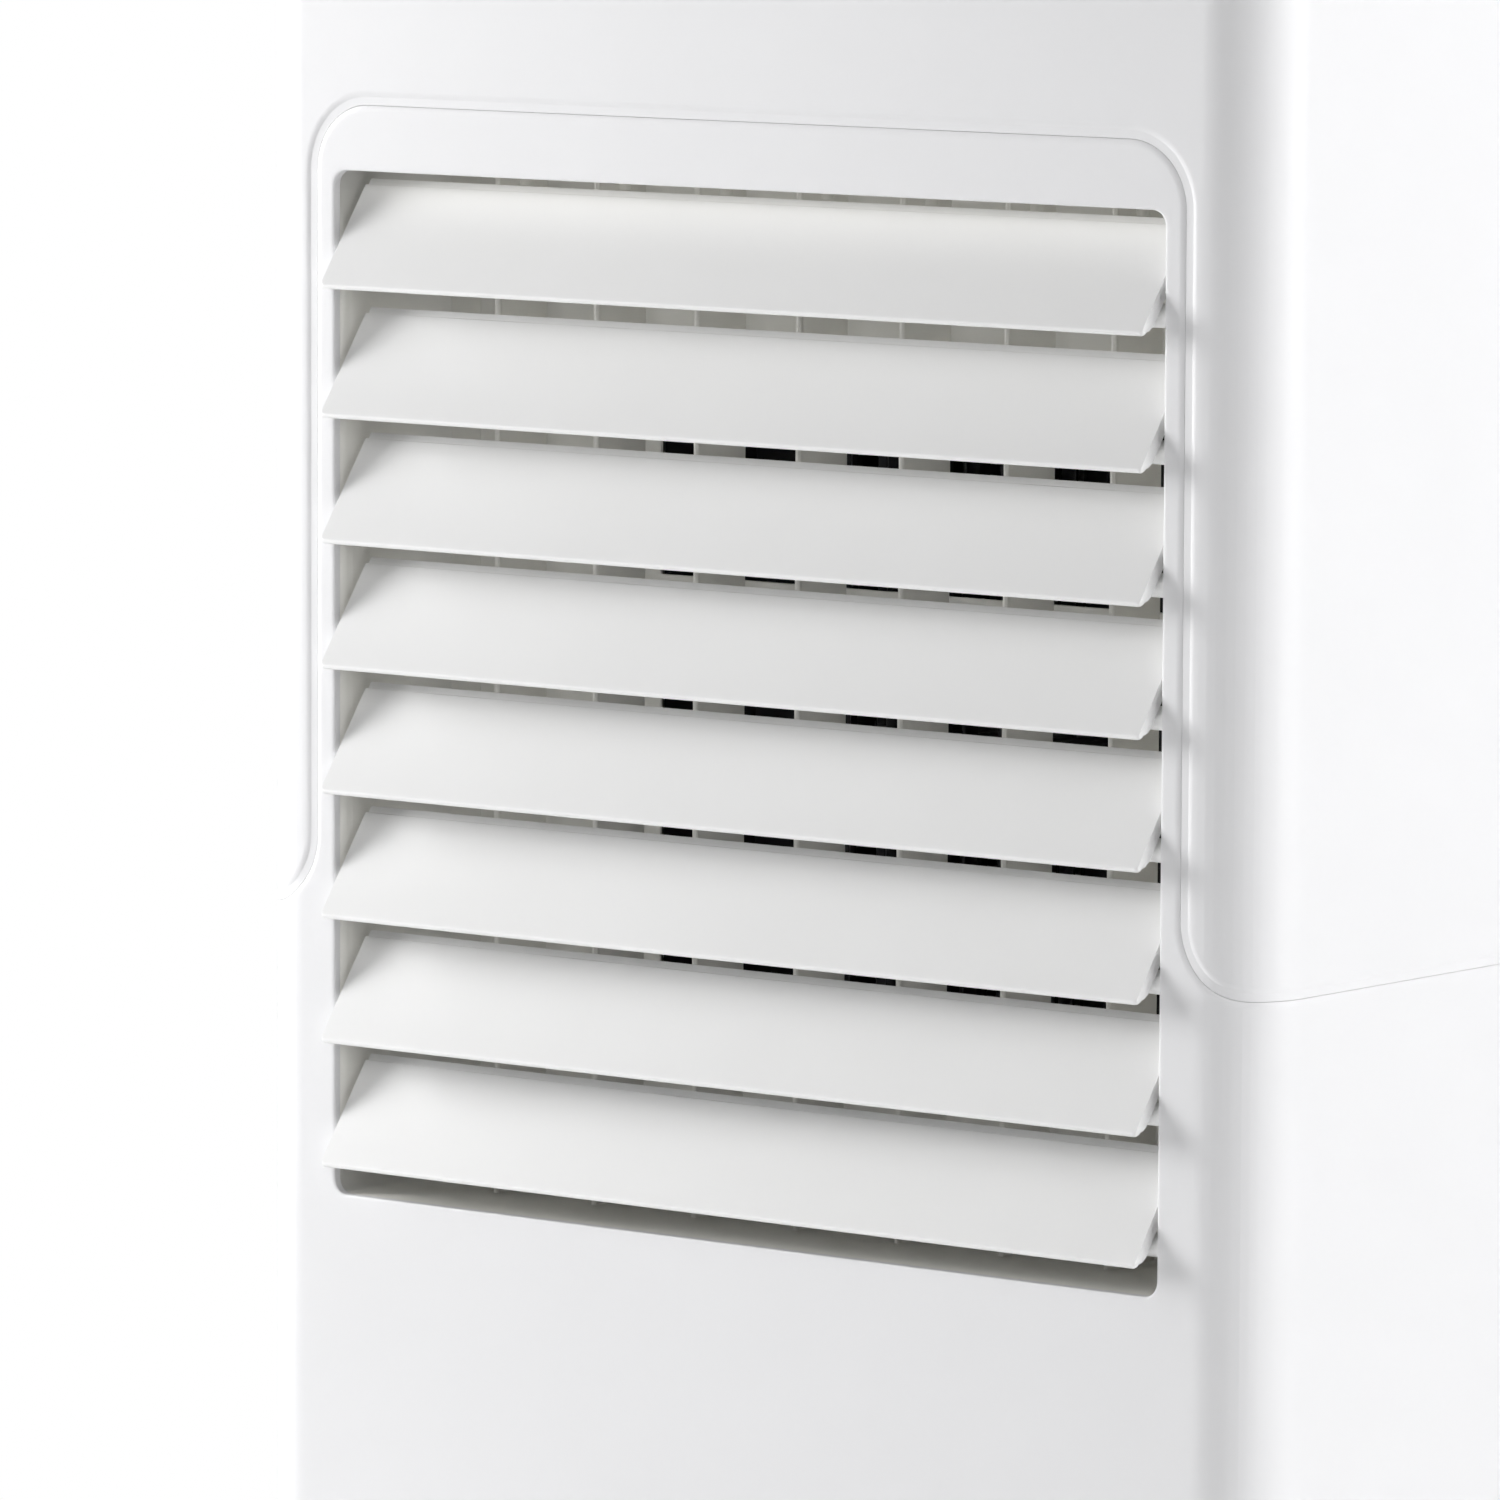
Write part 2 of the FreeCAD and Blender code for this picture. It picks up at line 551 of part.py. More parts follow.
def make_vane(index):
    """An upright vane with a rounded nose, pivot pins and a crank above the duct."""
    name = "vane_%d" % (index + 1)
    x = vane_x(index)
    low = "outlet_bottom + 0.6"
    high = "outlet_top - 0.6"
    pivot = "front + vane_pivot_y"
    blade = block(name + "_blade", ("%s - vane_half_thick" % x, "%s + vane_half_thick" % x),
                  ("front + vane_nose + 0.9", "front + vane_tail"), (low, high))
    nose = rod(name + "_nose", "Z", (x, "front + vane_nose + 0.9", low), "0.9",
               "(%s) - (%s)" % (high, low))
    lower_boss = rod(name + "_boss", "Z", (x, pivot, low), "2.6", "4")
    upper_boss = rod(name + "_boss", "Z", (x, pivot, "%s - 4" % high), "2.6", "4")
    lower_pin = rod(name + "_pin", "Z", (x, pivot, "outlet_bottom - duct_wall"), "vane_pin",
                    "duct_wall + 3")
    upper_pin = rod(name + "_pin", "Z", (x, pivot, "outlet_top - 3"), "vane_pin", "duct_wall + 3.8")
    arm = block(name + "_arm", ("%s - 2.6" % x, "%s + 2.6" % x), ("%s - 2.6" % pivot,
                "%s + vane_crank + 2.6" % pivot), ("outlet_top + duct_wall + 0.5",
                                                   "outlet_top + duct_wall + 3"))
    peg = rod(name + "_peg", "Z", (x, "%s + vane_crank" % pivot, "outlet_top + duct_wall + 2"),
              "link_pin", "4.6")
    node(fuse(name, blade, nose, lower_boss, upper_boss, lower_pin, upper_pin, arm, peg))


def make_vane_link():
    """The bar that joins the vane cranks, above the duct."""
    y = "front + vane_pivot_y + vane_crank"
    z = "outlet_top + duct_wall + 3.4"
    bar = block("vane_bar", ("-3 * vane_pitch - 5", "3 * vane_pitch + 5"),
                ("%s - 3.5" % y, "%s + 3.5" % y), (z, "%s + 2.8" % z))
    holes = [rod("vane_bar_hole", "Z", (vane_x(index), y, "%s - 2" % z), "link_pin + slack", "8")
             for index in range(VANES)]
    node(cut("vane_link", bar, *holes))


# ---------------------------------------------------------------- room-side blower

def make_blower():
    """A tangential blower with an upright axis: casing, rotor, shaft and motor."""
    rear = "front + duct_rear"
    low = "throat_bottom - 6"
    high = "throat_top + 6"
    plates = [
        block("blower_floor", ("throat_left - 6", "throat_right + 6"), ("%s + 0.3" % rear, "20"),
              (low, "%s + 2" % low)),
        block("blower_roof", ("throat_left - 6", "throat_right + 6"), ("%s + 0.3" % rear, "20"),
              ("%s - 2" % high, high)),
    ]
    shell = cut("blower_scroll", rod("scroll_out", "Z", ("rotor_x", "rotor_y", low),
                                     "rotor_radius + 7", "%s - (%s)" % (high, low)),
                rod("scroll_in", "Z", ("rotor_x", "rotor_y", "%s - 5" % low), "rotor_radius + 5",
                    "%s - (%s) + 10" % (high, low)),
                block("scroll_mouth", ("rotor_x - 35", "rotor_x + 90"), ("-200", "100"),
                      ("%s - 10" % low, "%s + 10" % high)))
    left = block("blower_left", ("throat_left - 3", "throat_left - 1"), ("%s + 0.3" % rear, "rotor_y"),
                 (low, high))
    bridge = block("blower_bridge", ("throat_left - 3", "rotor_x - rotor_radius - 5.5"),
                   ("rotor_y - 2", "rotor_y"), (low, high))
    right = block("blower_right", ("throat_right + 1", "throat_right + 3"), ("%s + 0.3" % rear, "rotor_y"),
                  (low, high))
    tongue = block("blower_tongue", ("rotor_x + rotor_radius + 3", "throat_right + 3"),
                   ("rotor_y - 12", "rotor_y - 10"), (low, high))
    bore = rod("blower_bore", "Z", ("rotor_x", "rotor_y", "%s - 20" % low), "rotor_shaft + slack",
               "%s - (%s) + 40" % (high, low))
    node(cut("blower_casing", fuse("blower_blank", shell, left, bridge, right, tongue, *plates), bore))

    rotor = new_body("blower_rotor")
    disc = ("0", "0", "rotor_radius")
    pad(rotor, "XY_Plane", "0", "2.5", disc=disc)
    fin = pad(rotor, "XY_Plane", "2.5", "throat_top - throat_bottom - 12",
              rectangle("rotor_radius - 9", "-0.7", "rotor_radius - 0.5", "0.7"))
    ring = rotor.newObject("PartDesign::PolarPattern", "rotor_ring")
    ring.Originals = [fin]
    ring.Axis = ([item for item in rotor.Origin.OriginFeatures if item.Role == "Z_Axis"][0], [""])
    ring.Angle = 360
    ring.Occurrences = 24
    rotor.Tip = ring
    pad(rotor, "XY_Plane", "throat_top - throat_bottom - 9.5", "2.5", disc=disc)
    middle = pad(rotor, "XY_Plane", "(throat_top - throat_bottom) / 2 - 6", "2", disc=disc)
    doc.recompute()
    bore = new_sketch(rotor, "XY_Plane", "0")
    circle(bore, "0", "0", "rotor_shaft")
    hole = rotor.newObject("PartDesign::Pocket", "rotor_bore")
    hole.Profile = bore
    hole.Type = "ThroughAll"
    hole.Reversed = True
    doc.recompute()
    assert hole.Shape.Volume < middle.Shape.Volume
    place(rotor, "rotor_x", "rotor_y", "throat_bottom + 3.5")
    node(rotor)

    node(rod("blower_shaft", "Z", ("rotor_x", "rotor_y", "%s - 4" % low), "rotor_shaft",
             "%s - (%s) + 54" % (high, low)))
    can = rod("motor_can", "Z", ("rotor_x", "rotor_y", "%s + 6" % high), "38", "40")
    ears = block("motor_ears", ("rotor_x - 46", "rotor_x + 46"), ("rotor_y - 9", "rotor_y + 9"),
                 ("%s + 0.2" % high, "%s + 8" % high))
    bore = rod("motor_bore", "Z", ("rotor_x", "rotor_y", "%s - 4" % high), "rotor_shaft + slack", "80")
    node(cut("blower_motor", fuse("motor_blank", can, ears), bore))


# ---------------------------------------------------------------- refrigeration and chassis

def coil(name, x, y, z, bends):
    """A finned block with return bends at both ends."""
    fins = block(name + "_fins", ("-(%s)" % x, x), (y, "%s + 24" % y), z)
    pieces = [fins]
    for step in range(bends):
        height = "%s + 16 + %d * 24" % (z[0], step)
        for side in (-1, 1):
            bend = doc.addObject("Part::Torus", name + "_bend")
            bend.Radius1 = 6.0
            bend.Radius2 = 3.2
            bend.Angle3 = 180
            bend.Placement.Rotation = Rotation(Vector(0, 0, 1), -90 * side)
            place(bend, "%d * (%s - 0.5)" % (side, x), "%s + 12" % y, height)
            pieces.append(bend)
    return node(fuse(name, *pieces))


def bulkhead_form(name, inset, back):
    """A plate as wide as the casing's inside, with rounded top corners and some depth."""
    body = new_body(name)
    half = "body_width / 2 - (%s)" % inset
    corners = rectangle("-(%s)" % half, "body_bottom + 1", half, "body_top - (%s)" % inset)
    base = pad(body, "XZ_Plane", "-(%s)" % back, "%s - case_rear + 16" % back, corners)
    round_edges(body, base, "edge_radius - (%s)" % inset,
                lambda middle, edge: edge.Length < 60 and middle.z > 500)
    return body


def make_chassis():
    """Base pan, bulkhead and the outdoor cabinet."""
    half = "cabinet_half_width - 2"
    rim_top = "body_bottom + pan_depth"
    tray = cut("pan_tray", block("pan_blank", ("-(%s)" % half, half), ("front + 12", "cabinet_rear - 2"),
                                 ("body_bottom", rim_top)),
               block("pan_hollow", ("-(%s) + sheet_metal" % half, "%s - sheet_metal" % half),
                     ("front + 12 + sheet_metal", "cabinet_rear - 2 - sheet_metal"),
                     ("body_bottom + sheet_metal", "body_bottom + 60")),
               rod("pan_drain", "Y", ("120", "cabinet_rear - 20", "24"), "8", "40"))
    foot_holes = [rod("pan_foot_hole", "Z", (x, y, "0"), "3.2", "30")
                  for x in (-140, 140) for y in (-105, 110)]
    node(cut("base_pan", tray, *foot_holes))

    back = "bulkhead_y + sheet_metal"
    box = bulkhead_form("bulkhead_blank", "wall + 0.4", back)
    hollow = bulkhead_form("bulkhead_hollow", "wall + 0.4 + sheet_metal", "bulkhead_y")
    pan_notch = block("bulkhead_notch", ("-(%s) - 0.4" % half, "%s + 0.4" % half), ("-50", "50"),
                      ("0", "%s + 0.5" % rim_top))
    holes = [rod("suction_hole", "Y", ("120", "0", "262"), "6", "60"),
             rod("liquid_hole", "Y", ("134", "0", "262"), "6", "60")]
    node(cut("bulkhead", box, hollow, pan_notch, *holes, *case_screw_holes("bulkhead")))

    outer = block("cabinet_blank", ("-cabinet_half_width", "cabinet_half_width"),
                  ("%s + 0.3" % back, "cabinet_rear"), ("body_bottom", "cabinet_top"))
    inner = block("cabinet_hollow", ("-cabinet_half_width + 1", "cabinet_half_width - 1"),
                  ("0", "200"), ("-10", "cabinet_top - 1"))
    slots = []
    for row in range(14):
        for start in ("62", "100"):
            slots.append(block("cabinet_slot", ("-200", "200"), (start, "%s + 30" % start),
                               ("330 + %d * 24" % row, "336 + %d * 24" % row)))
    node(cut("rear_cabinet", outer, inner, *slots))


def make_rear_grille():
    """The outdoor face: a plate with rows of long slots."""
    plate = block("rear_plate", ("-cabinet_half_width", "cabinet_half_width"),
                  ("overall_rear - sheet_metal", "overall_rear"), ("42", "cabinet_top"))
    slots = []
    for row in range(30):
        for column in (-1, 0, 1):
            slots.append(block("rear_slot", ("%d * 98 - 44" % column, "%d * 98 + 44" % column),
                               ("100", "200"), ("262 + %d * 15" % row, "271 + %d * 15" % row)))
    node(cut("rear_grille", plate, *slots))


def make_condenser_fan():
    """Shroud, motor and a four-bladed fan with its shaft."""
    shroud = block("shroud_plate", ("-160", "160"), ("109.6", "111.6"), ("256", "728"))
    legs = [block("shroud_leg", (x, x + 10), ("109.6", "111.6"), ("body_bottom + sheet_metal", "260"))
            for x in (-160, 150)]
    ring = rod("shroud_ring", "Y", ("0", "88", "fan_height"), "fan_radius + 8", "23")
    bore = rod("shroud_bore", "Y", ("0", "60", "fan_height"), "fan_radius + 5", "80")
    node(cut("fan_shroud", fuse("shroud_blank", shroud, ring, *legs), bore))

    can = rod("fan_motor_can", "Y", ("0", "bulkhead_y + sheet_metal + 6", "fan_height"), "44", "34")
    base = block("fan_motor_base", ("-55", "55"), ("bulkhead_y + sheet_metal + 0.2",
                 "bulkhead_y + sheet_metal + 8"), ("fan_height - 12", "fan_height + 12"))
    hole = rod("fan_motor_bore", "Y", ("0", "bulkhead_y + sheet_metal + 10", "fan_height"),
               "rotor_shaft + slack", "60")
    node(cut("condenser_motor", fuse("fan_motor_blank", can, base), hole))

    hub = rod("fan_hub", "Y", ("0", "78", "fan_height"), "30", "20")
    shaft = rod("fan_shaft", "Y", ("0", "bulkhead_y + sheet_metal + 12", "fan_height"), "rotor_shaft", "48")
    blades = []
    for step in range(4):
        blade = doc.addObject("Part::Box", "fan_blade")
        blade.Width = 2
        blade.Height = 36
        bind(blade, Length="fan_radius - 26")
        outward = Rotation(Vector(0, 1, 0), 90 * step)
        pitch = Rotation(Vector(1, 0, 0), 55)
        turn = outward.multiply(pitch)
        corner = Vector(26, -1, -18)
        blade.Placement.Rotation = turn
        spot = turn.multVec(corner) + Vector(0, 88, SIZE["fan_height"])
        place(blade, spot.x, spot.y, "fan_height + (%f)" % (spot.z - SIZE["fan_height"]))
        blades.append(blade)
    node(fuse("condenser_fan", hub, shaft, *blades))


def tube(name, points, radius, bend):
    """A bent tube: straight runs joined by tangent arcs."""
    points = [Vector(*point) for point in points]
    edges = []
    start = points[0]
    for before, corner, after in zip(points, points[1:], points[2:]):
        inward = (before - corner).normalize()
        outward = (after - corner).normalize()
        half = inward.getAngle(outward) / 2
        back = bend / math.tan(half)
        first = corner + inward * back
        last = corner + outward * back
        centre = corner + (inward + outward).normalize() * (bend / math.sin(half))
        middle = centre + (corner - centre).normalize() * bend
        edges.append(Part.LineSegment(start, first).toShape())
        edges.append(Part.Arc(first, middle, last).toShape())
        start = last
    edges.append(Part.LineSegment(start, points[-1]).toShape())
    path = Part.Wire(edges)
    direction = points[1] - points[0]
    profile = Part.Wire(Part.makeCircle(radius, points[0], direction))
    item = doc.addObject("Part::Feature", name)
    item.Shape = path.makePipeShell([profile], True, True)
    return node(item)


def make_refrigeration():
    """Coils, drain tray, compressor, accumulator and the tubes between them."""
    coil("evaporator_coil", "140", "front + 42", ("64", "252"), 8)
    tray = block("tray_blank", ("-150", "150"), ("front + 38", "front + 72"), ("38", "62"))
    hollow = block("tray_hollow", ("-148", "148"), ("front + 40", "front + 70"), ("40", "80"))
    fins_feet = [block("tray_rest", (x - 4, x + 4), ("front + 39", "front + 71"), ("body_bottom + sheet_metal", "63.8"))
                 for x in (-120, 120)]
    node(fuse("drain_tray", cut("tray_shell", tray, hollow), *fins_feet))
    coil("condenser_coil", "146", "112", ("262", "722"), 19)

    x = "compressor_x"
    y = "compressor_y"
    shell = new_body("compressor")
    can = pad(shell, "XY_Plane", "0", "176", disc=("0", "0", "compressor_radius"))
    round_edges(shell, can, "18", lambda middle, edge: True)
    place(shell, x, y, "26")
    plate = block("compressor_plate", ("%s - 46" % x, "%s + 46" % x), ("%s - 40" % y, "%s + 40" % y),
                  ("21", "24"))
    neck = rod("compressor_neck", "Z", (x, y, "23"), "28", "10")
    stub = rod("compressor_stub", "Z", (x, y, "200"), "4", "10")
    holes = [rod("compressor_hole", "Z", ("%s + %d" % (x, dx), "%s + %d" % (y, dy), "10"), "5.2", "30")
             for dx, dy in ((-36, -30), (36, -30), (-36, 30), (36, 30))]
    shell.Label = "compressor_shell"
    node(cut("compressor_unit", fuse("compressor_blank", shell, plate, neck, stub), *holes)).Label = \
        "compressor"
    mounts = []
    for dx, dy in ((-36, -30), (36, -30), (-36, 30), (36, 30)):
        spot = ("%s + %d" % (x, dx), "%s + %d" % (y, dy), "body_bottom + sheet_metal")
        foot = rod("grommet_foot", "Z", spot, "9", "21 - body_bottom - sheet_metal")
        neck = rod("grommet_neck", "Z", spot, "5", "16")
        mounts.append(fuse("grommet", foot, neck))
    node(group("compressor_mounts", *mounts))
    node(rod("accumulator", "Z", ("10", "78", "70"), "21", "120"))

    tube("discharge_pipe", [(-70, 86, 210), (-70, 86, 236), (-128, 124, 240), (-128, 124, 262)],
         3.2, 9.0)
    tube("suction_pipe", [(120, -71, 225), (120, -44, 225), (120, -18, 262), (120, 58, 262),
                          (60, 74, 250), (10, 78, 232), (10, 78, 190)], 4.2, 11.0)
    tube("capillary_tube", [(134, -71, 210), (134, -44, 210), (134, -18, 262), (134, 58, 262),
                            (134, 90, 238), (134, 124, 236), (134, 124, 262)], 1.6, 7.0)


def make_electrics():
    """Control box with its run capacitor, and the power inlet gland."""
    outer = block("box_blank", ("-166", "-62"), ("-66", "bulkhead_y - 0.2"), ("662", "724"))
    inner = block("box_hollow", ("-164.5", "-63.5"), ("-64.5", "bulkhead_y + 10"), ("663.5", "722.5"))
    node(cut("control_box", outer, inner))
    node(rod("run_capacitor", "X", ("-150", "-30", "683.6"), "20", "72"))
    flange = rod("gland_flange", "X", ("body_width / 2 + 0.1", "case_rear - 30", "34"), "13", "3")
    barrel = rod("gland_barrel", "X", ("body_width / 2 - 9", "case_rear - 30", "34"), "9", "11")
    nose = rod("gland_nose", "X", ("body_width / 2 + 1", "case_rear - 30", "34"), "7", "10")
    bore = rod("gland_bore", "X", ("body_width / 2 - 20", "case_rear - 30", "34"), "4", "50")
    node(cut("power_gland", fuse("gland_blank", flange, barrel, nose), bore))


def flange_holes(name, side):
    x = "%d * flange_hole_x" % side
    return [rod(name, "Y", (x, "flange_y - 20", height), "flange_hole", "40")
            for height in ("flange_hole_low", "flange_hole_low + 180", "flange_hole_high - 180",
                           "flange_hole_high")]


def make_window_mounts():
    """Steel angles down both sides of the cabinet, with a foam seal on each."""
    flanges = []
    seals = []
    for side in (-1, 1):
        inner = "%d * (cabinet_half_width + 0.1)" % side
        thick = "%d * (cabinet_half_width + 1.6)" % side
        outer = "%d * flange_reach" % side
        across = (inner, thick) if side > 0 else (thick, inner)
        reach = (inner, outer) if side > 0 else (outer, inner)
        web = block("flange_web", across, ("flange_y", "flange_y + 24"), ("60", "720"))
        face = block("flange_face", reach, ("flange_y", "flange_y + 1.5"), ("60", "720"))
        flanges.append(cut("flange", fuse("flange_blank", web, face), *flange_holes("flange_hole", side)))
        near = "%d * 184" % side
        far = "%d * (flange_reach - 1)" % side
        span = (near, far) if side > 0 else (far, near)
        strip = block("seal_strip", span, ("flange_y - 6", "flange_y - 0.1"), ("64", "716"))
        seals.append(cut("seal", strip, *flange_holes("seal_hole", side)))
    node(group("mounting_flanges", *flanges))
    node(group("window_seals", *seals))


def make_small_parts():
    """Case screws, rubber feet and the drain spout."""
    screws = []
    for side, height in case_screw_spots():
        head_start = "body_width / 2 + 0.05" if side > 0 else "-body_width / 2 - 2.45"
        shank_start = "body_width / 2 - 8" if side > 0 else "-body_width / 2 - 1"
        head = rod("screw_head", "X", (head_start, "case_rear - 8", height), "4", "2.4")
        shank = rod("screw_shank", "X", (shank_start, "case_rear - 8", height), "screw_radius", "9")
        recess_start = "body_width / 2 + 1.2" if side > 0 else "-body_width / 2 - 6.2"
        recess = rod("screw_recess", "X", (recess_start, "case_rear - 8", height), "1.6", "5")
        screws.append(cut("screw", fuse("screw_blank", head, shank), recess))
    node(group("case_screws", *screws))
    feet = []
    for x in (-140, 140):
        for y in (-105, 110):
            pad_disc = rod("foot_pad", "Z", (x, y, "0"), "foot_radius", "body_bottom")
            stem = rod("foot_stem", "Z", (x, y, "1"), "3", "14")
            barb = rod("foot_barb", "Z", (x, y, "body_bottom + sheet_metal + 0.1"), "4.4", "2.5")
            feet.append(fuse("foot", pad_disc, stem, barb))
    node(group("feet", *feet))
    spout = rod("spout_tube", "Y", ("120", "cabinet_rear - 12", "24"), "7.9", "13.4")
    rim = rod("spout_rim", "Y", ("120", "cabinet_rear - 6.6", "24"), "11", "3")
    bore = rod("spout_bore", "Y", ("120", "cabinet_rear - 30", "24"), "drain_bore", "60")
    node(cut("drain_spout", fuse("spout_blank", spout, rim), bore))


def check_document():
    """Stop on any failed object and on any sub-part that is empty or invalid."""
    doc.recompute()
    for item in doc.Objects:
        if "Invalid" in item.State or "Error" in item.State:
            raise RuntimeError("failed: %s %s" % (item.Name, item.State))
    for item in nodes:
        if item.Shape.isNull() or not item.Shape.isValid() or not item.Shape.Solids:
            raise RuntimeError("bad shape: " + item.Label)


def write_parts():
    os.makedirs("parts", exist_ok=True)
    for item in nodes:
        item.Shape.exportStep("parts/%s.step" % item.Label)


def main():
    make_sheet()
    make_casing()
    make_intake_grille()
    make_air_filter()
    make_filter_rails()
    make_controls()
    make_outlet_duct()
    for index in range(LOUVRES):
        make_louvre(index)
    make_louvre_link()
    make_swing_motor()
    for index in range(VANES):
        make_vane(index)
    make_vane_link()
    make_blower()
    make_refrigeration()
    make_chassis()
    make_rear_grille()
    make_condenser_fan()
    make_electrics()
    make_window_mounts()
    make_small_parts()
    check_document()
    write_parts()
    print(len(nodes), "sub-parts written")


main()
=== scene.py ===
import json
import math

import bmesh
import bpy
from mathutils import Matrix, Vector
from mathutils.geometry import delaunay_2d_cdt


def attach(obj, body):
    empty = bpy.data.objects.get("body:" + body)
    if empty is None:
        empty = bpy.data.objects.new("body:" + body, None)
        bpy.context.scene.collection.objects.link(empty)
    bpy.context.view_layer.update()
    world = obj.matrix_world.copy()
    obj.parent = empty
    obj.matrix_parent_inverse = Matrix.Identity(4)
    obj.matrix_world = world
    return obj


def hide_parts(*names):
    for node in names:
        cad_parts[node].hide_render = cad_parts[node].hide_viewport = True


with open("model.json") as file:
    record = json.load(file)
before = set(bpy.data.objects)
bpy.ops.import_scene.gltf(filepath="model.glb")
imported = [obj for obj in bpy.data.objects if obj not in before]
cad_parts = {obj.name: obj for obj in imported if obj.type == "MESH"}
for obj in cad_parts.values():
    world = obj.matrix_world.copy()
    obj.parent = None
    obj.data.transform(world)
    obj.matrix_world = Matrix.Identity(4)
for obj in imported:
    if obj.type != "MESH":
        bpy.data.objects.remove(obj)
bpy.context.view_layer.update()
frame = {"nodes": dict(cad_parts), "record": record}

MM = 0.001

# Sizes in millimetres, as in the CAD sheet.
HALF_WIDTH = 180.0
TOP = 750.0
BOTTOM = 10.0
FRONT = -137.05
CASE_REAR = 25.0
EDGE = 21.0
WALL = 2.5
# Openings: half width, lower edge, upper edge, corner radius.
OUTLET = (147.0, 344.0, 640.0, 4.5)
INTAKE = (140.0, 50.0, 250.0, 2.5)
ARCH_LEG, ARCH_TOP, ARCH_FOOT, ARCH_BEND = 154.8, 660.0, 428.0, 20.0
FASCIA_HALF, FASCIA_FRONT, FASCIA_REAR = 121.0, FRONT + 41, FRONT + 101
FILTER_FRONT, FILTER_REAR, FILTER_LOW, FILTER_HIGH = FRONT + 25, FRONT + 31, 50, 250

# Distances along the casing's unrolled skin, across (SIDE) and up (ROLL).
FLAT = HALF_WIDTH - EDGE
QUARTER = EDGE * math.pi / 2
SIDE_START = FLAT + QUARTER
SIDE_END = SIDE_START + CASE_REAR - FRONT - EDGE
ROLL_START = TOP - EDGE
ROLL_END = ROLL_START + QUARTER


# ---------------------------------------------------------------- materials

def ramp(tree, source, stops):
    """A grey ramp fed by one output; stops are (position, grey)."""
    item = tree.nodes.new("ShaderNodeValToRGB")
    elements = item.color_ramp.elements
    while len(elements) < len(stops):
        elements.new(0.5)
    for element, (place, tone) in zip(elements, stops):
        element.position = place
        element.color = (tone, tone, tone, 1)
    tree.links.new(source, item.inputs[0])
    return item.outputs[0]


def noise(tree, coords, scale, detail=3.0):
    """Procedural noise on the object's own coordinates."""
    item = tree.nodes.new("ShaderNodeTexNoise")
    item.inputs["Scale"].default_value = scale
    item.inputs["Detail"].default_value = detail
    tree.links.new(coords, item.inputs["Vector"])
    return item.outputs["Fac"]


def blend_colours(tree, factor, first, second, kind="MIX"):
    item = tree.nodes.new("ShaderNodeMix")
    item.data_type = "RGBA"
    item.blend_type = kind
    for socket, value in ((item.inputs[0], factor), (item.inputs[6], first), (item.inputs[7], second)):
        if isinstance(value, (int, float)):
            socket.default_value = value
        elif isinstance(value, tuple):
            socket.default_value = (*value, 1)
        else:
            tree.links.new(value, socket)
    return item.outputs[2]


def finish(name, colour, rough, metallic=0.0, grain=1500.0, relief=0.02, mottle=0.03,
           wear=None, spangle=0.0, coat=0.0, specular=0.5, spread=0.08):
    """A moulded, painted or metal surface: grain, uneven gloss, slight colour drift, worn edges."""
    mat = bpy.data.materials.new(name)
    mat.use_nodes = True
    tree = mat.node_tree
    shader = tree.nodes["Principled BSDF"]
    coords = tree.nodes.new("ShaderNodeTexCoord").outputs["Object"]
    drift = ramp(tree, noise(tree, coords, 14.0), [(0.3, 0.0), (0.7, 1.0)])
    low = tuple(max(0.0, c * (1 - mottle)) for c in colour)
    high = tuple(min(1.0, c * (1 + mottle)) for c in colour)
    tone = blend_colours(tree, drift, low, high)
    if spangle:
        cells = tree.nodes.new("ShaderNodeTexVoronoi")
        cells.inputs["Scale"].default_value = 110.0
        tree.links.new(coords, cells.inputs["Vector"])
        crystal = ramp(tree, cells.outputs["Color"], [(0.2, 1 - spangle), (0.8, 1.0)])
        tone = blend_colours(tree, 1.0, tone, crystal, "MULTIPLY")
    if wear:
        rounded_edge = tree.nodes.new("ShaderNodeBevel")
        rounded_edge.samples = 4
        rounded_edge.inputs["Radius"].default_value = 0.7 * MM
        facing = tree.nodes.new("ShaderNodeVectorMath")
        facing.operation = "DOT_PRODUCT"
        tree.links.new(rounded_edge.outputs[0], facing.inputs[0])
        tree.links.new(tree.nodes.new("ShaderNodeNewGeometry").outputs["Normal"], facing.inputs[1])
        rubbed = ramp(tree, facing.outputs["Value"], [(0.86, 1.0), (0.99, 0.0)])
        broken = ramp(tree, noise(tree, coords, 220.0), [(0.4, 0.0), (0.62, 1.0)])
        mask = blend_colours(tree, 1.0, rubbed, broken, "MULTIPLY")
        tone = blend_colours(tree, mask, tone, wear)
    tree.links.new(tone, shader.inputs["Base Color"])
    gloss = tree.nodes.new("ShaderNodeMapRange")
    gloss.inputs["To Min"].default_value = max(0.02, rough - spread)
    gloss.inputs["To Max"].default_value = min(1.0, rough + spread)
    tree.links.new(noise(tree, coords, 60.0, 4.0), gloss.inputs["Value"])
    tree.links.new(gloss.outputs[0], shader.inputs["Roughness"])
    bump = tree.nodes.new("ShaderNodeBump")
    bump.inputs["Strength"].default_value = 0.6
    bump.inputs["Distance"].default_value = relief * MM
    tree.links.new(noise(tree, coords, grain, 2.0), bump.inputs["Height"])
    tree.links.new(bump.outputs[0], shader.inputs["Normal"])
    shader.inputs["Metallic"].default_value = metallic
    shader.inputs["Coat Weight"].default_value = coat
    shader.inputs["Specular IOR Level"].default_value = specular
    return mat


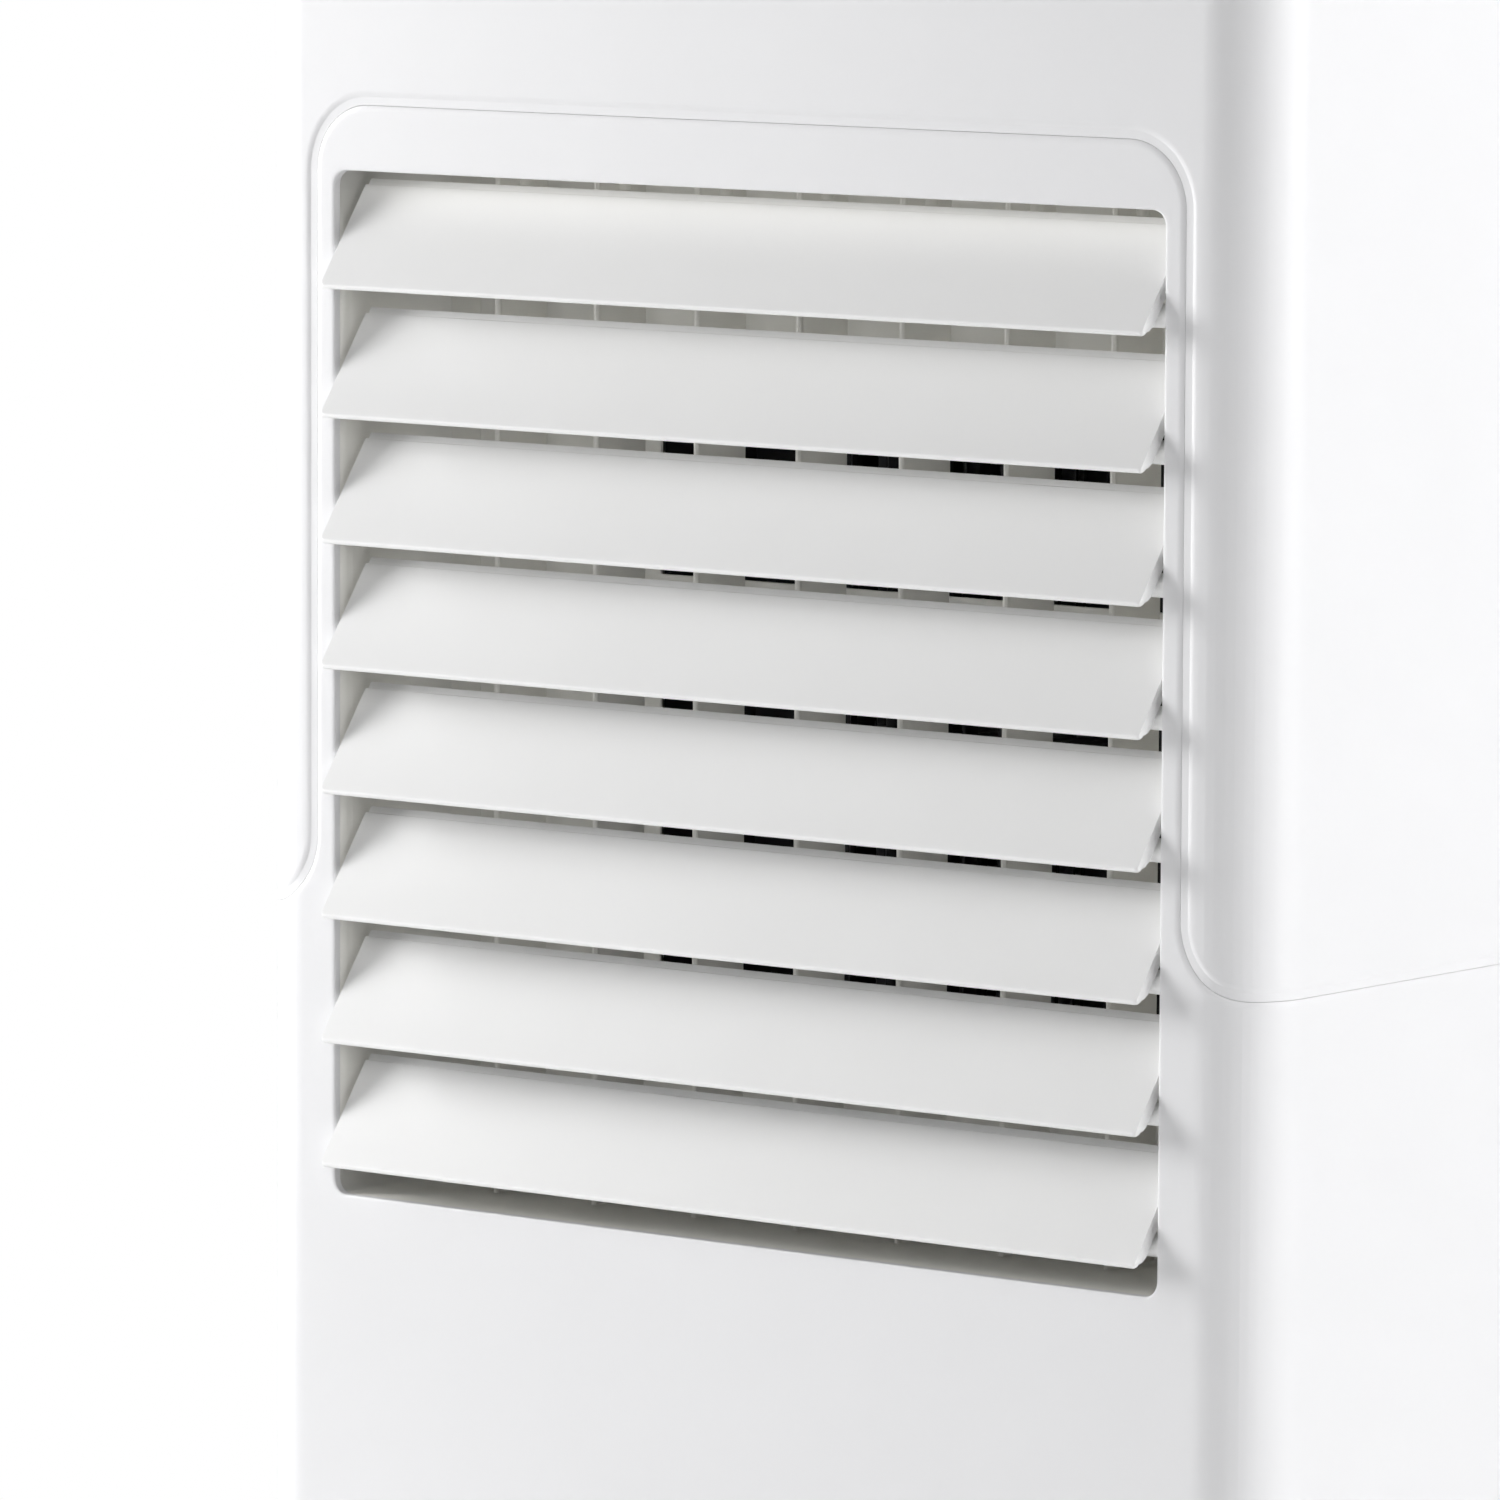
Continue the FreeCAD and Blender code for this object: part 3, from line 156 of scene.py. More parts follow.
WHITE = finish("white_abs", (0.862, 0.862, 0.874), 0.46, grain=2200, relief=0.006, mottle=0.006)
LOUVRE = finish("louvre_abs", (0.908, 0.908, 0.906), 0.42, grain=1900, relief=0.006, mottle=0.008)
GREY = finish("grey_abs", (0.93, 0.92, 0.87), 0.5, grain=1500, relief=0.012, mottle=0.02)
BLACK = finish("black_plastic", (0.018, 0.018, 0.019), 0.45, grain=1300, relief=0.03, mottle=0.2,
               wear=(0.05, 0.05, 0.05))
NET = finish("filter_mesh", (0.16, 0.18, 0.19), 0.7, grain=2500, relief=0.05, mottle=0.15)
LENS = finish("display", (0.010, 0.011, 0.013), 0.09, relief=0.0, mottle=0.3, coat=0.6, spread=0.03)
GLOW = finish("display_segments", (0.55, 0.72, 0.74), 0.4, mottle=0.05)
BUTTON = finish("button_grey", (0.60, 0.62, 0.64), 0.46, grain=2600, relief=0.01, mottle=0.02,
                wear=(0.6, 0.61, 0.62))
MARK = finish("printed_mark", (0.09, 0.10, 0.11), 0.5, mottle=0.1)
BOARD = finish("circuit_board", (0.02, 0.12, 0.05), 0.35, grain=700, relief=0.04, mottle=0.25)
ZINC = finish("galvanised", (0.56, 0.57, 0.58), 0.36, metallic=0.9, grain=500, relief=0.02, spangle=0.28)
PAINT = finish("cabinet_paint", (0.62, 0.625, 0.615), 0.42, grain=900, relief=0.02, mottle=0.02,
               wear=(0.42, 0.42, 0.41))
FINS = finish("coil_fins", (0.68, 0.69, 0.70), 0.34, metallic=0.85, grain=900, relief=0.03, mottle=0.1)
STEEL = finish("motor_steel", (0.055, 0.057, 0.06), 0.4, metallic=0.3, grain=800, relief=0.05,
               wear=(0.25, 0.25, 0.25))
COPPER = finish("copper", (0.72, 0.33, 0.18), 0.3, metallic=1.0, grain=400, relief=0.02, mottle=0.18)
RUBBER = finish("rubber_black", (0.022, 0.022, 0.022), 0.75, grain=1600, relief=0.08, mottle=0.2)
FOAM = finish("foam_grey", (0.13, 0.135, 0.14), 0.92, grain=800, relief=0.5, mottle=0.18, specular=0.2)
SCREW = finish("zinc_screw", (0.70, 0.69, 0.66), 0.28, metallic=1.0, grain=900, relief=0.02,
               wear=(0.8, 0.8, 0.78))
CAP_CASE = finish("capacitor_case", (0.50, 0.51, 0.52), 0.3, metallic=0.8, relief=0.02, mottle=0.08)


# ---------------------------------------------------------------- mesh tools, in millimetres

PLANES = {
    "XY": lambda a, b, c: (a, b, c),
    "XZ": lambda a, b, c: (a, c, b),
    "YZ": lambda a, b, c: (c, a, b),
}


def add_prism(bm, outline, plane, low, high):
    """A closed solid: an outline in one plane, from low to high along that plane's normal."""
    to_3d = PLANES[plane]
    rings = [[bm.verts.new(to_3d(a, b, level)) for a, b in outline] for level in (low, high)]
    count = len(outline)
    faces = [bm.faces.new(rings[0]), bm.faces.new(rings[1])]
    for k in range(count):
        n = (k + 1) % count
        faces.append(bm.faces.new((rings[0][k], rings[0][n], rings[1][n], rings[1][k])))
    bmesh.ops.recalc_face_normals(bm, faces=faces)


def add_box(bm, x, y, z):
    add_prism(bm, [(x[0], y[0]), (x[1], y[0]), (x[1], y[1]), (x[0], y[1])], "XY", *z)


def ring_rows(bm, profile, centre, axis, segments, flip=1):
    """A ring of vertices for each (radius, distance along the axis), or one vertex on the axis."""
    rows = []
    for radius, along in profile:
        turns = [math.tau * k / segments for k in range(segments if radius > 0 else 1)]
        rows.append([bm.verts.new(spot(axis, centre, radius * math.cos(turn), radius * math.sin(turn),
                                       flip * along)) for turn in turns])
    return rows


def join_rows(bm, rows, ring=False):
    """Faces between neighbouring rows of vertices; a row of one vertex closes to a point."""
    faces = []
    for first, second in zip(rows, rows[1:] + rows[:1] if ring else rows[1:]):
        count = max(len(first), len(second))
        for k in range(count):
            n = (k + 1) % count
            corners = [first[k % len(first)], first[n % len(first)],
                       second[n % len(second)], second[k % len(second)]]
            corners = list(dict.fromkeys(corners))
            if len(corners) > 2:
                faces.append(bm.faces.new(corners))
    return faces


def add_lathe(bm, profile, centre, axis, segments):
    """A closed solid of revolution; profile is (radius, distance along the axis), ends on the axis
    where the radius is 0, or a closed ring of points where the first repeats at the end."""
    ring = profile[0] == profile[-1]
    rows = ring_rows(bm, profile[:-1] if ring else profile, centre, axis, segments)
    bmesh.ops.recalc_face_normals(bm, faces=join_rows(bm, rows, ring))


def spot(axis, centre, a, b, along):
    """A point beside and along one of the three axes, from a centre."""
    x, y, z = centre
    if axis == "X":
        return (x + along, y + a, z + b)
    if axis == "Y":
        return (x + a, y + along, z + b)
    return (x + a, y + b, z + along)


def add_rod(bm, axis, centre, radius, length, soft=0.3, segments=28):
    """A rod from centre along the axis with softened rims."""
    soft = min(soft, radius * 0.6, length * 0.4)
    profile = [(0, 0), (radius - soft, 0), (radius - soft * 0.3, soft * 0.3), (radius, soft),
               (radius, length - soft), (radius - soft * 0.3, length - soft * 0.3),
               (radius - soft, length), (0, length)]
    add_lathe(bm, profile, centre, axis, segments)


def arc(x, y, radius, start, end, steps=16):
    """Points along an arc, from start to end in degrees."""
    return [(x + radius * math.cos(math.radians(start + (end - start) * k / steps)),
             y + radius * math.sin(math.radians(start + (end - start) * k / steps)))
            for k in range(steps + 1)]


def rounded(half_a, low, high, radius, steps=8, centre=0.0):
    """A rectangle with rounded corners, counter-clockwise."""
    points = []
    for side_a, side_b, start in ((1, 1, 0), (-1, 1, 90), (-1, -1, 180), (1, -1, 270)):
        a = centre + side_a * (half_a - radius)
        b = high - radius if side_b > 0 else low + radius
        points += arc(a, b, radius, start, start + 90, steps)
    return points


def disc(a, b, radius, segments=24):
    """The points of a circle."""
    return arc(a, b, radius, 0, 360, segments)[:-1]


def add_plate(bm, outline, holes, plane, low, high):
    """A flat plate with holes, as one closed solid."""
    points = list(outline)
    loops = [list(range(len(outline)))]
    for hole in holes:
        loops.append(list(range(len(points), len(points) + len(hole))))
        points.extend(hole)
    edges = [(loop[k], loop[(k + 1) % len(loop)]) for loop in loops for k in range(len(loop))]
    coords, _, faces, _, _, _ = delaunay_2d_cdt([Vector(p) for p in points], edges, [], 0, 1e-5)
    to_3d = PLANES[plane]
    layers = [[bm.verts.new(to_3d(p.x, p.y, level)) for p in coords] for level in (low, high)]
    made = []
    sides = {}
    for face in faces:
        middle = sum((coords[i] for i in face), Vector((0, 0))) / len(face)
        if not inside(middle, outline) or any(inside(middle, hole) for hole in holes):
            continue
        made.append(bm.faces.new([layers[1][i] for i in face]))
        made.append(bm.faces.new([layers[0][i] for i in reversed(face)]))
        for k in range(len(face)):
            sides[face[k], face[(k + 1) % len(face)]] = True
    for a, b in sides:
        if (b, a) not in sides:
            made.append(bm.faces.new((layers[0][a], layers[0][b], layers[1][b], layers[1][a])))
    loose = [v for layer in layers for v in layer if not v.link_faces]
    bmesh.ops.delete(bm, geom=loose, context="VERTS")
    bmesh.ops.recalc_face_normals(bm, faces=made)


def inside(point, outline):
    """Whether a point lies within a closed outline."""
    odd = False
    for k, (ax, ay) in enumerate(outline):
        bx, by = outline[k - 1]
        if (ay > point.y) != (by > point.y):
            if point.x < (bx - ax) * (point.y - ay) / (by - ay) + ax:
                odd = not odd
    return odd


def soften(obj, width, angle=35, weld=False):
    """Round an object's edges, and keep its flat faces flat in the shading."""
    if weld:
        obj.modifiers.new("Weld", "WELD").merge_threshold = 1e-6
    if width:
        bevel = obj.modifiers.new("Bevel", "BEVEL")
        bevel.width = width * MM
        bevel.segments = 2
        bevel.limit_method = "ANGLE"
        bevel.angle_limit = math.radians(angle)
        bevel.use_clamp_overlap = True
    for polygon in obj.data.polygons:
        polygon.use_smooth = True
    normals = obj.modifiers.new("Normals", "WEIGHTED_NORMAL")
    normals.keep_sharp = True


def mark_sharp(bm, degrees):
    """Shade edges smooth only where they turn by less than this."""
    limit = math.radians(degrees)
    for edge in bm.edges:
        edge.smooth = len(edge.link_faces) == 2 and edge.calc_face_angle(0) < limit


def piece(name, bm, body, material, replaces=(), bevel=0.0, angle=35, sharp=40):
    """Turn a mesh in millimetres into an object that rides on a CAD body."""
    bmesh.ops.transform(bm, matrix=Matrix.Scale(MM, 4), verts=bm.verts)
    bm.normal_update()
    if not bevel:
        mark_sharp(bm, sharp)
    mesh = bpy.data.meshes.new(name)
    bm.to_mesh(mesh)
    bm.free()
    obj = bpy.data.objects.new(name, mesh)
    bpy.context.scene.collection.objects.link(obj)
    mesh.materials.append(material)
    soften(obj, bevel, angle)
    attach(obj, body)
    if replaces:
        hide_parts(*replaces)


# ---------------------------------------------------------------- casing skin

def groove_offset(a, z):
    """Distance from the groove's centre line, negative on the front panel's side."""
    if z > ARCH_TOP - ARCH_BEND:
        if a > ARCH_LEG - ARCH_BEND:
            return math.hypot(a - ARCH_LEG + ARCH_BEND, z - ARCH_TOP + ARCH_BEND) - ARCH_BEND
        return z - ARCH_TOP
    if z < ARCH_FOOT + ARCH_BEND:
        if a < ARCH_LEG + ARCH_BEND:
            return ARCH_BEND - math.hypot(a - ARCH_LEG - ARCH_BEND, z - ARCH_FOOT - ARCH_BEND)
        return z - ARCH_FOOT
    return a - ARCH_LEG if a < ARCH_LEG + ARCH_BEND else min(a - ARCH_LEG, z - ARCH_FOOT)


# Distances from the groove's centre line; the seam lies between the two casing parts.
GROOVE_LIP = 3.2
GROOVE_FLOOR = 1.2
LIP_RADIUS = 4.8
SEAM = (-1.2, -1.08)


def groove_depth(s):
    """A flat floor with rolled lips."""
    reach = GROOVE_LIP - max(abs(s), GROOVE_FLOOR)
    return LIP_RADIUS - math.sqrt(LIP_RADIUS ** 2 - reach ** 2) if reach > 0 else 0.0


def unroll(x):
    """Distance along the casing's skin from the middle, from the distance to one side."""
    if x <= FLAT:
        return x
    if x < HALF_WIDTH:
        return FLAT + EDGE * math.asin((x - FLAT) / EDGE)
    return SIDE_START + x - HALF_WIDTH


def reach_of(u):
    """The inverse of unroll; on the side walls it goes on growing."""
    u = abs(u)
    if u <= FLAT:
        return u
    if u < SIDE_START:
        return FLAT + EDGE * math.sin((u - FLAT) / EDGE)
    return HALF_WIDTH + u - SIDE_START


def skin(u, v):
    """Point and outward normal on the casing's outer form."""
    side = 1 if u >= 0 else -1
    u = abs(u)
    turn = min(max((u - FLAT) / EDGE, 0), math.pi / 2)
    lift = min(max((v - ROLL_START) / EDGE, 0), math.pi / 2)
    x = min(u, FLAT)
    y = FRONT + EDGE + max(0.0, u - SIDE_START)
    z = min(v, ROLL_START)
    normal = Vector((side * math.sin(turn) * math.cos(lift), -math.cos(turn) * math.cos(lift),
                     math.sin(lift)))
    return Vector((side * x, y, z)) + EDGE * normal, normal


def groove_line(s):
    """One line of the groove at a set distance from its centre, as (u, v) points, left to right."""
    half = [(0.0, ARCH_TOP + s)]
    half += arc(ARCH_LEG - ARCH_BEND, ARCH_TOP - ARCH_BEND, ARCH_BEND + s, 90, 0, 16)
    half += arc(ARCH_LEG + ARCH_BEND, ARCH_FOOT + ARCH_BEND, ARCH_BEND - s, 180, 270, 24)
    half = [(unroll(a), v) for a, v in half] + [(SIDE_END, ARCH_FOOT + s)]
    return [(-u, v) for u, v in reversed(half[1:])] + half


def ring_round(opening, grow):
    """The outline of an opening, grown outwards."""
    half, low, high, radius = opening
    return rounded(half + grow, low - grow, high + grow, radius + grow)


def side_u(y):
    """Distance along the unrolled skin of a depth on the side wall."""
    return SIDE_START + y - FRONT - EDGE


SCREW_INSET = 8
INLET_INSET, INLET_HEIGHT = 30, 34
SCREW_SPOTS = [(side, height) for side in (-1, 1) for height in (80, 340, 480, 690)]


# An opening's edge: share of its reach that is left, and the drop there; gentle, then a small radius.
EDGE_ROLL = ((0.67, 0.02), (0.4, 0.06), (0.2, 0.13), (0.08, 0.25), (0.02, 0.42), (0.0, 0.7))


def build_casing():
    """The room-side casing: front panel and upper shell, cut from one unrolled surface."""
    points = []
    edges = []

    def line(new, closed=False):
        start = len(points)
        points.extend(Vector(p) for p in new)
        ends = [(start + k, start + k + 1) for k in range(len(new) - 1)]
        edges.extend(ends + ([(start + len(new) - 1, start)] if closed else []))
        return range(start, start + len(new))

    line([(-SIDE_END, BOTTOM), (SIDE_END, BOTTOM), (SIDE_END, ROLL_END), (-SIDE_END, ROLL_END)], True)
    steps = 12
    for side in (-1, 1):
        for k in range(steps + 1):
            u = side * (FLAT + QUARTER * k / steps)
            line([(u, BOTTOM), (u, ROLL_END)])
    for k in range(steps):
        v = ROLL_START + QUARTER * k / steps
        line([(-SIDE_END, v), (SIDE_END, v)])
    lips = [GROOVE_LIP - f * (GROOVE_LIP - GROOVE_FLOOR) for f in (0, 0.12, 0.3, 0.5, 0.7, 0.86, 1)]
    for s in [-lip for lip in lips] + [SEAM[1]] + lips[::-1]:
        line(groove_line(s))
    rolls = {}
    for opening, reach in ((OUTLET, 1.5), (INTAKE, 0.9)):
        rolls[line(ring_round(opening, reach), True)] = (opening, reach)
    round_holes = [(side * side_u(CASE_REAR - SCREW_INSET), z, 2.1) for side, z in SCREW_SPOTS]
    round_holes.append((side_u(CASE_REAR - INLET_INSET), INLET_HEIGHT, 9.2))
    holes = [disc(u, v, r) for u, v, r in round_holes]
    near, far = side_u(FILTER_FRONT - 1), side_u(FILTER_REAR + 1)
    holes.append(rounded((far - near) / 2, FILTER_LOW - 2, FILTER_HIGH + 2, 1.0, 3, (near + far) / 2))
    for hole in holes:
        line(hole, True)
    coords, _, faces, originals, _, _ = delaunay_2d_cdt(points, edges, [], 0, 1e-5)
    index_of = {}
    for number, sources in enumerate(originals):
        for source in sources:
            index_of[source] = number

    outer = []
    inner = []
    for p in coords:
        base, normal = skin(p.x, p.y)
        depth = groove_depth(groove_offset(reach_of(p.x), p.y))
        outer.append(base - normal * depth)
        inner.append(base - normal * WALL)
    panel = []
    shell = []
    cutouts = [ring_round(*roll) for roll in rolls.values()] + holes
    for face in faces:
        middle = sum((coords[i] for i in face), Vector((0, 0))) / 3
        if any(inside(middle, cutout) for cutout in cutouts):
            continue
        s = groove_offset(reach_of(middle.x), middle.y)
        if s < SEAM[0]:
            panel.append(face)
        elif s > SEAM[1]:
            shell.append(face)
    for ends, (opening, reach) in rolls.items():
        row = [index_of[k] for k in ends]
        for away, drop in EDGE_ROLL:
            fresh = []
            for x, z in ring_round(opening, reach * away):
                fresh.append(len(outer))
                outer.append(Vector((x, FRONT + drop, z)))
                inner.append(Vector((x, FRONT + WALL, z)))
            count = len(row)
            for i in range(count):
                n = (i + 1) % count
                panel += [(row[i], row[n], fresh[n]), (row[i], fresh[n], fresh[i])]
            row = fresh

    seat = [(-FASCIA_HALF, FASCIA_FRONT), (FASCIA_HALF, FASCIA_FRONT),
            (FASCIA_HALF, FASCIA_REAR), (-FASCIA_HALF, FASCIA_REAR)]
    rim = [(-FLAT, FRONT + EDGE), (FLAT, FRONT + EDGE), (FLAT, CASE_REAR), (-FLAT, CASE_REAR)]
    loops = [(k, (k + 1) % 4) for k in range(4)] + [(4 + k, 4 + (k + 1) % 4) for k in range(4)]
    flat, _, faces, _, _, _ = delaunay_2d_cdt([Vector(p) for p in rim + seat], loops, [], 0, 1e-5)
    start = len(outer)
    for p in flat:
        outer.append(Vector((p.x, p.y, TOP)))
        inner.append(Vector((p.x, p.y, TOP - WALL)))
    for face in faces:
        middle = sum((flat[i] for i in face), Vector((0, 0))) / 3
        if not inside(middle, seat):
            shell.append(tuple(start + i for i in face))

    for node, triangles in (("front_panel", panel), ("upper_shell", shell)):
        bm = closed_skin(outer, inner, triangles)
        piece(node + "_skin", bm, "chassis", WHITE, (node,), sharp=38)


def closed_skin(outer, inner, triangles):
    """A shell with an outer and an inner face, joined along its borders."""
    bm = bmesh.new()
    merged = {}
    ids = {}

    def corner(i):
        if i not in ids:
            spot_key = tuple(round(c, 3) for c in outer[i])
            if spot_key not in merged:
                merged[spot_key] = (bm.verts.new(outer[i]), bm.verts.new(inner[i]))
            ids[i] = merged[spot_key]
        return ids[i]

    border = {}
    for face in triangles:
        pairs = list(dict.fromkeys(corner(i) for i in face))
        if len(pairs) < 3 or (pairs[0][0].co - pairs[1][0].co).cross(
                pairs[0][0].co - pairs[2][0].co).length < 1e-7:
            continue
        try:
            bm.faces.new([pair[0] for pair in pairs])
        except ValueError:
            continue
        bm.faces.new([pair[1] for pair in reversed(pairs)])
        for k in range(3):
            first, second = pairs[k], pairs[(k + 1) % 3]
            border[(first[0], second[0])] = (first, second)
    for (a, b), (first, second) in border.items():
        if (b, a) not in border:
            bm.faces.new((first[0], first[1], second[1], second[0]))
    bmesh.ops.recalc_face_normals(bm, faces=bm.faces)
    return bm


# ---------------------------------------------------------------- louvres, vanes, duct

TILT = math.radians(54.2)
LOUVRE_PITCH = 36.1
LOUVRE_TOP = 610.25
PIVOT_Y = FRONT + 6.0
HALF_LENGTH = 145.35
BOSS_END = 146.7
AHEAD, BEHIND = -11.68, 37.7 - 11.68      # the blade's nose and rear edge, from its pivot
UNDER, UPPER = 7.46, 9.36                 # its lower and upper faces, above the pivot
OUTER_WALL = 149.0
CRANK, CRANK_HALF = 12, 2.6
VANE_PITCH = 36.5
VANE_NOSE, VANE_PIVOT = FRONT + 28.4, FRONT + 40.0
VANE_LOW, VANE_HIGH = OUTLET[1] + 0.6, OUTLET[2] - 0.6


def blade_section():
    """The louvre's cross-section: a rounded nose, a flat face and a stepped rear lip."""
    nose_b = (UNDER + UPPER) / 2
    half = (UPPER - UNDER) / 2
    points = arc(AHEAD + half, nose_b, half, 90, 270, 8)
    points += [(AHEAD + 4, UNDER), (BEHIND - 0.2, UNDER), (BEHIND, UNDER + 0.2), (BEHIND, UNDER + 0.65),
               (BEHIND - 0.2, UNDER + 0.85), (BEHIND - 2.45, UNDER + 0.85), (BEHIND - 2.6, UNDER + 1.0),
               (BEHIND - 2.6, UPPER - 0.3), (BEHIND - 2.9, UPPER), (BEHIND - 12, UPPER)]
    return points


def build_louvre(index):
    """One louvre in its own frame: x along it, then across it, then up from its face."""
    bm = bmesh.new()
    section = blade_section()
    corner = 1.1
    stations = []
    for k in range(7):
        turn = math.pi / 2 * k / 6
        stations.append((HALF_LENGTH - corner * (1 - math.sin(turn)), corner * (1 - math.cos(turn))))
    stations = [(-x, pull) for x, pull in reversed(stations)] + stations
    rows = []
    for x, pull in stations:
        row = []
        for a, b in section:
            near = min(1.0, max(0.0, 1.3 - (a - AHEAD) / 4))
            row.append(bm.verts.new((x, a + pull * near, b)))
        rows.append(row)
    join_rows(bm, rows)
    bm.faces.new(rows[0])
    bm.faces.new(rows[-1])
    rib = [(AHEAD + 1.6, UNDER + 0.4), (AHEAD + 2.8, UNDER - 1.0), (AHEAD + 5, UNDER - 1.8),
           (BEHIND - 4, UNDER - 1.8), (BEHIND - 2.2, UNDER + 0.4)]
    web = [(-2.6, 0), (2.6, 0), (8, UNDER + 0.5), (-4, UNDER + 0.5)]
    for side in (-1, 1):
        for outline, near, far in ((rib, HALF_LENGTH - 1.5, HALF_LENGTH - 0.05),
                                   (web, HALF_LENGTH - 9, HALF_LENGTH - 7)):
            add_prism(bm, outline, "YZ", *sorted((side * near, side * far)))
        inner = HALF_LENGTH - 7 if side > 0 else -BOSS_END
        add_rod(bm, "X", (inner, 0, 0), 3.3, BOSS_END - HALF_LENGTH + 7, 0.4)
    add_rod(bm, "X", (-OUTER_WALL - 0.6, 0, 0), 2.0, 3.0, 0.2, 20)
    add_rod(bm, "X", (146.6, 0, 0), 2.0, 13.0 if index == 4 else 2.2, 0.3, 20)
    arm = [(-CRANK_HALF, 0.0)] + arc(0, -CRANK, CRANK_HALF, 180, 360, 12)
    arm += [(CRANK_HALF, 0.0)] + arc(0, 0, CRANK_HALF, 15, 165, 10)
    add_prism(bm, arm, "YZ", -OUTER_WALL - 3.4, -OUTER_WALL - 0.4)
    add_rod(bm, "X", (-OUTER_WALL - 7, 0, -CRANK), 1.5, 3.8, 0.3, 20)
    lift = 0.9 if index == 1 else 0.0
    height = LOUVRE_TOP - LOUVRE_PITCH * (index - 1) + lift
    bmesh.ops.recalc_face_normals(bm, faces=bm.faces)
    bmesh.ops.transform(bm, verts=bm.verts, matrix=Matrix.Translation((0, PIVOT_Y, height))
                        @ Matrix.Rotation(TILT, 4, "X"))
    piece("louvre_blade_%d" % index, bm, "louvre_%d" % index, LOUVRE,
          ("louvre_%d" % index,), sharp=32)


def build_vane(index):
    """An upright air-guiding vane with a bead along its nose and a tapered tail."""
    x = VANE_PITCH * (index - 4)
    bm = bmesh.new()
    outline = arc(x, VANE_NOSE, 0.9, -220, 40, 13)
    outline += [(x + 0.6, VANE_NOSE + 1.6), (x + 0.6, FRONT + 42), (x + 0.4, FRONT + 50.0),
                (x - 0.4, FRONT + 50.0), (x - 0.6, FRONT + 42), (x - 0.6, VANE_NOSE + 1.6)]
    add_prism(bm, outline, "XY", VANE_LOW, VANE_HIGH)
    add_rod(bm, "Z", (x, VANE_PIVOT, VANE_LOW), 2.6, 4.0)
    add_rod(bm, "Z", (x, VANE_PIVOT, VANE_HIGH - 4), 2.6, 4.0)
    add_rod(bm, "Z", (x, VANE_PIVOT, OUTLET[1] - 2), 1.75, 5.0, 0.3, 20)
    add_rod(bm, "Z", (x, VANE_PIVOT, OUTLET[2] - 3), 1.75, 5.8, 0.3, 20)
    arm = arc(x, VANE_PIVOT + 10, CRANK_HALF, 0, 180, 12) + arc(x, VANE_PIVOT, CRANK_HALF, 180, 360, 12)
    add_prism(bm, arm, "XY", OUTLET[2] + 2.5, OUTLET[2] + 5)
    add_rod(bm, "Z", (x, VANE_PIVOT + 10, OUTLET[2] + 4), 1.5, 4.6, 0.3, 20)
    piece("vane_blade_%d" % index, bm, "vane_%d" % index, GREY, ("vane_%d" % index,), sharp=32)


def build_duct_details():
    """Fillet strips in the duct's rear corners."""
    bm = bmesh.new()
    for side in (-1, 1):
        wall = side * 146.95
        rear = FRONT + 59.95
        add_prism(bm, [(wall, FRONT + 52), (wall, rear), (side * 142.0, rear), (side * 144.2, FRONT + 57.6)],
                  "XY", 344.1, 639.9)
    piece("duct_corner_strips", bm, "chassis", GREY, bevel=0.3)


# ---------------------------------------------------------------- intake side

def build_intake():
    """The intake's frame with its level slats and three upright ribs."""
    bm = bmesh.new()
    half, low, high = INTAKE[0] - 0.5, INTAKE[1] + 0.5, INTAKE[2] - 0.5
    add_plate(bm, rounded(half, low, high, 2.2, 5), [rounded(half - 7, low + 7, high - 7, 2.0, 5)],
              "XZ", FRONT + 0.3, FRONT + 8)
    for step in range(15):
        z = low + 13.5 + 12.5 * step
        slat = [(FRONT + 7.0, z), (FRONT + 7.0, z + 1.5), (FRONT + 2.2, z + 2.2), (FRONT + 1.2, z + 1.95),
                (FRONT + 0.8, z + 1.2), (FRONT + 1.0, z + 0.5), (FRONT + 1.8, z + 0.05)]
        add_prism(bm, slat, "YZ", -(half - 5), half - 5)
    for x in (-70, 0, 70):
        add_box(bm, (x - 1.5, x + 1.5), (FRONT + 5, FRONT + 8), (low + 5, high - 5))
    piece("intake_grille_slats", bm, "chassis", WHITE, ("intake_grille",), bevel=0.35, angle=30)


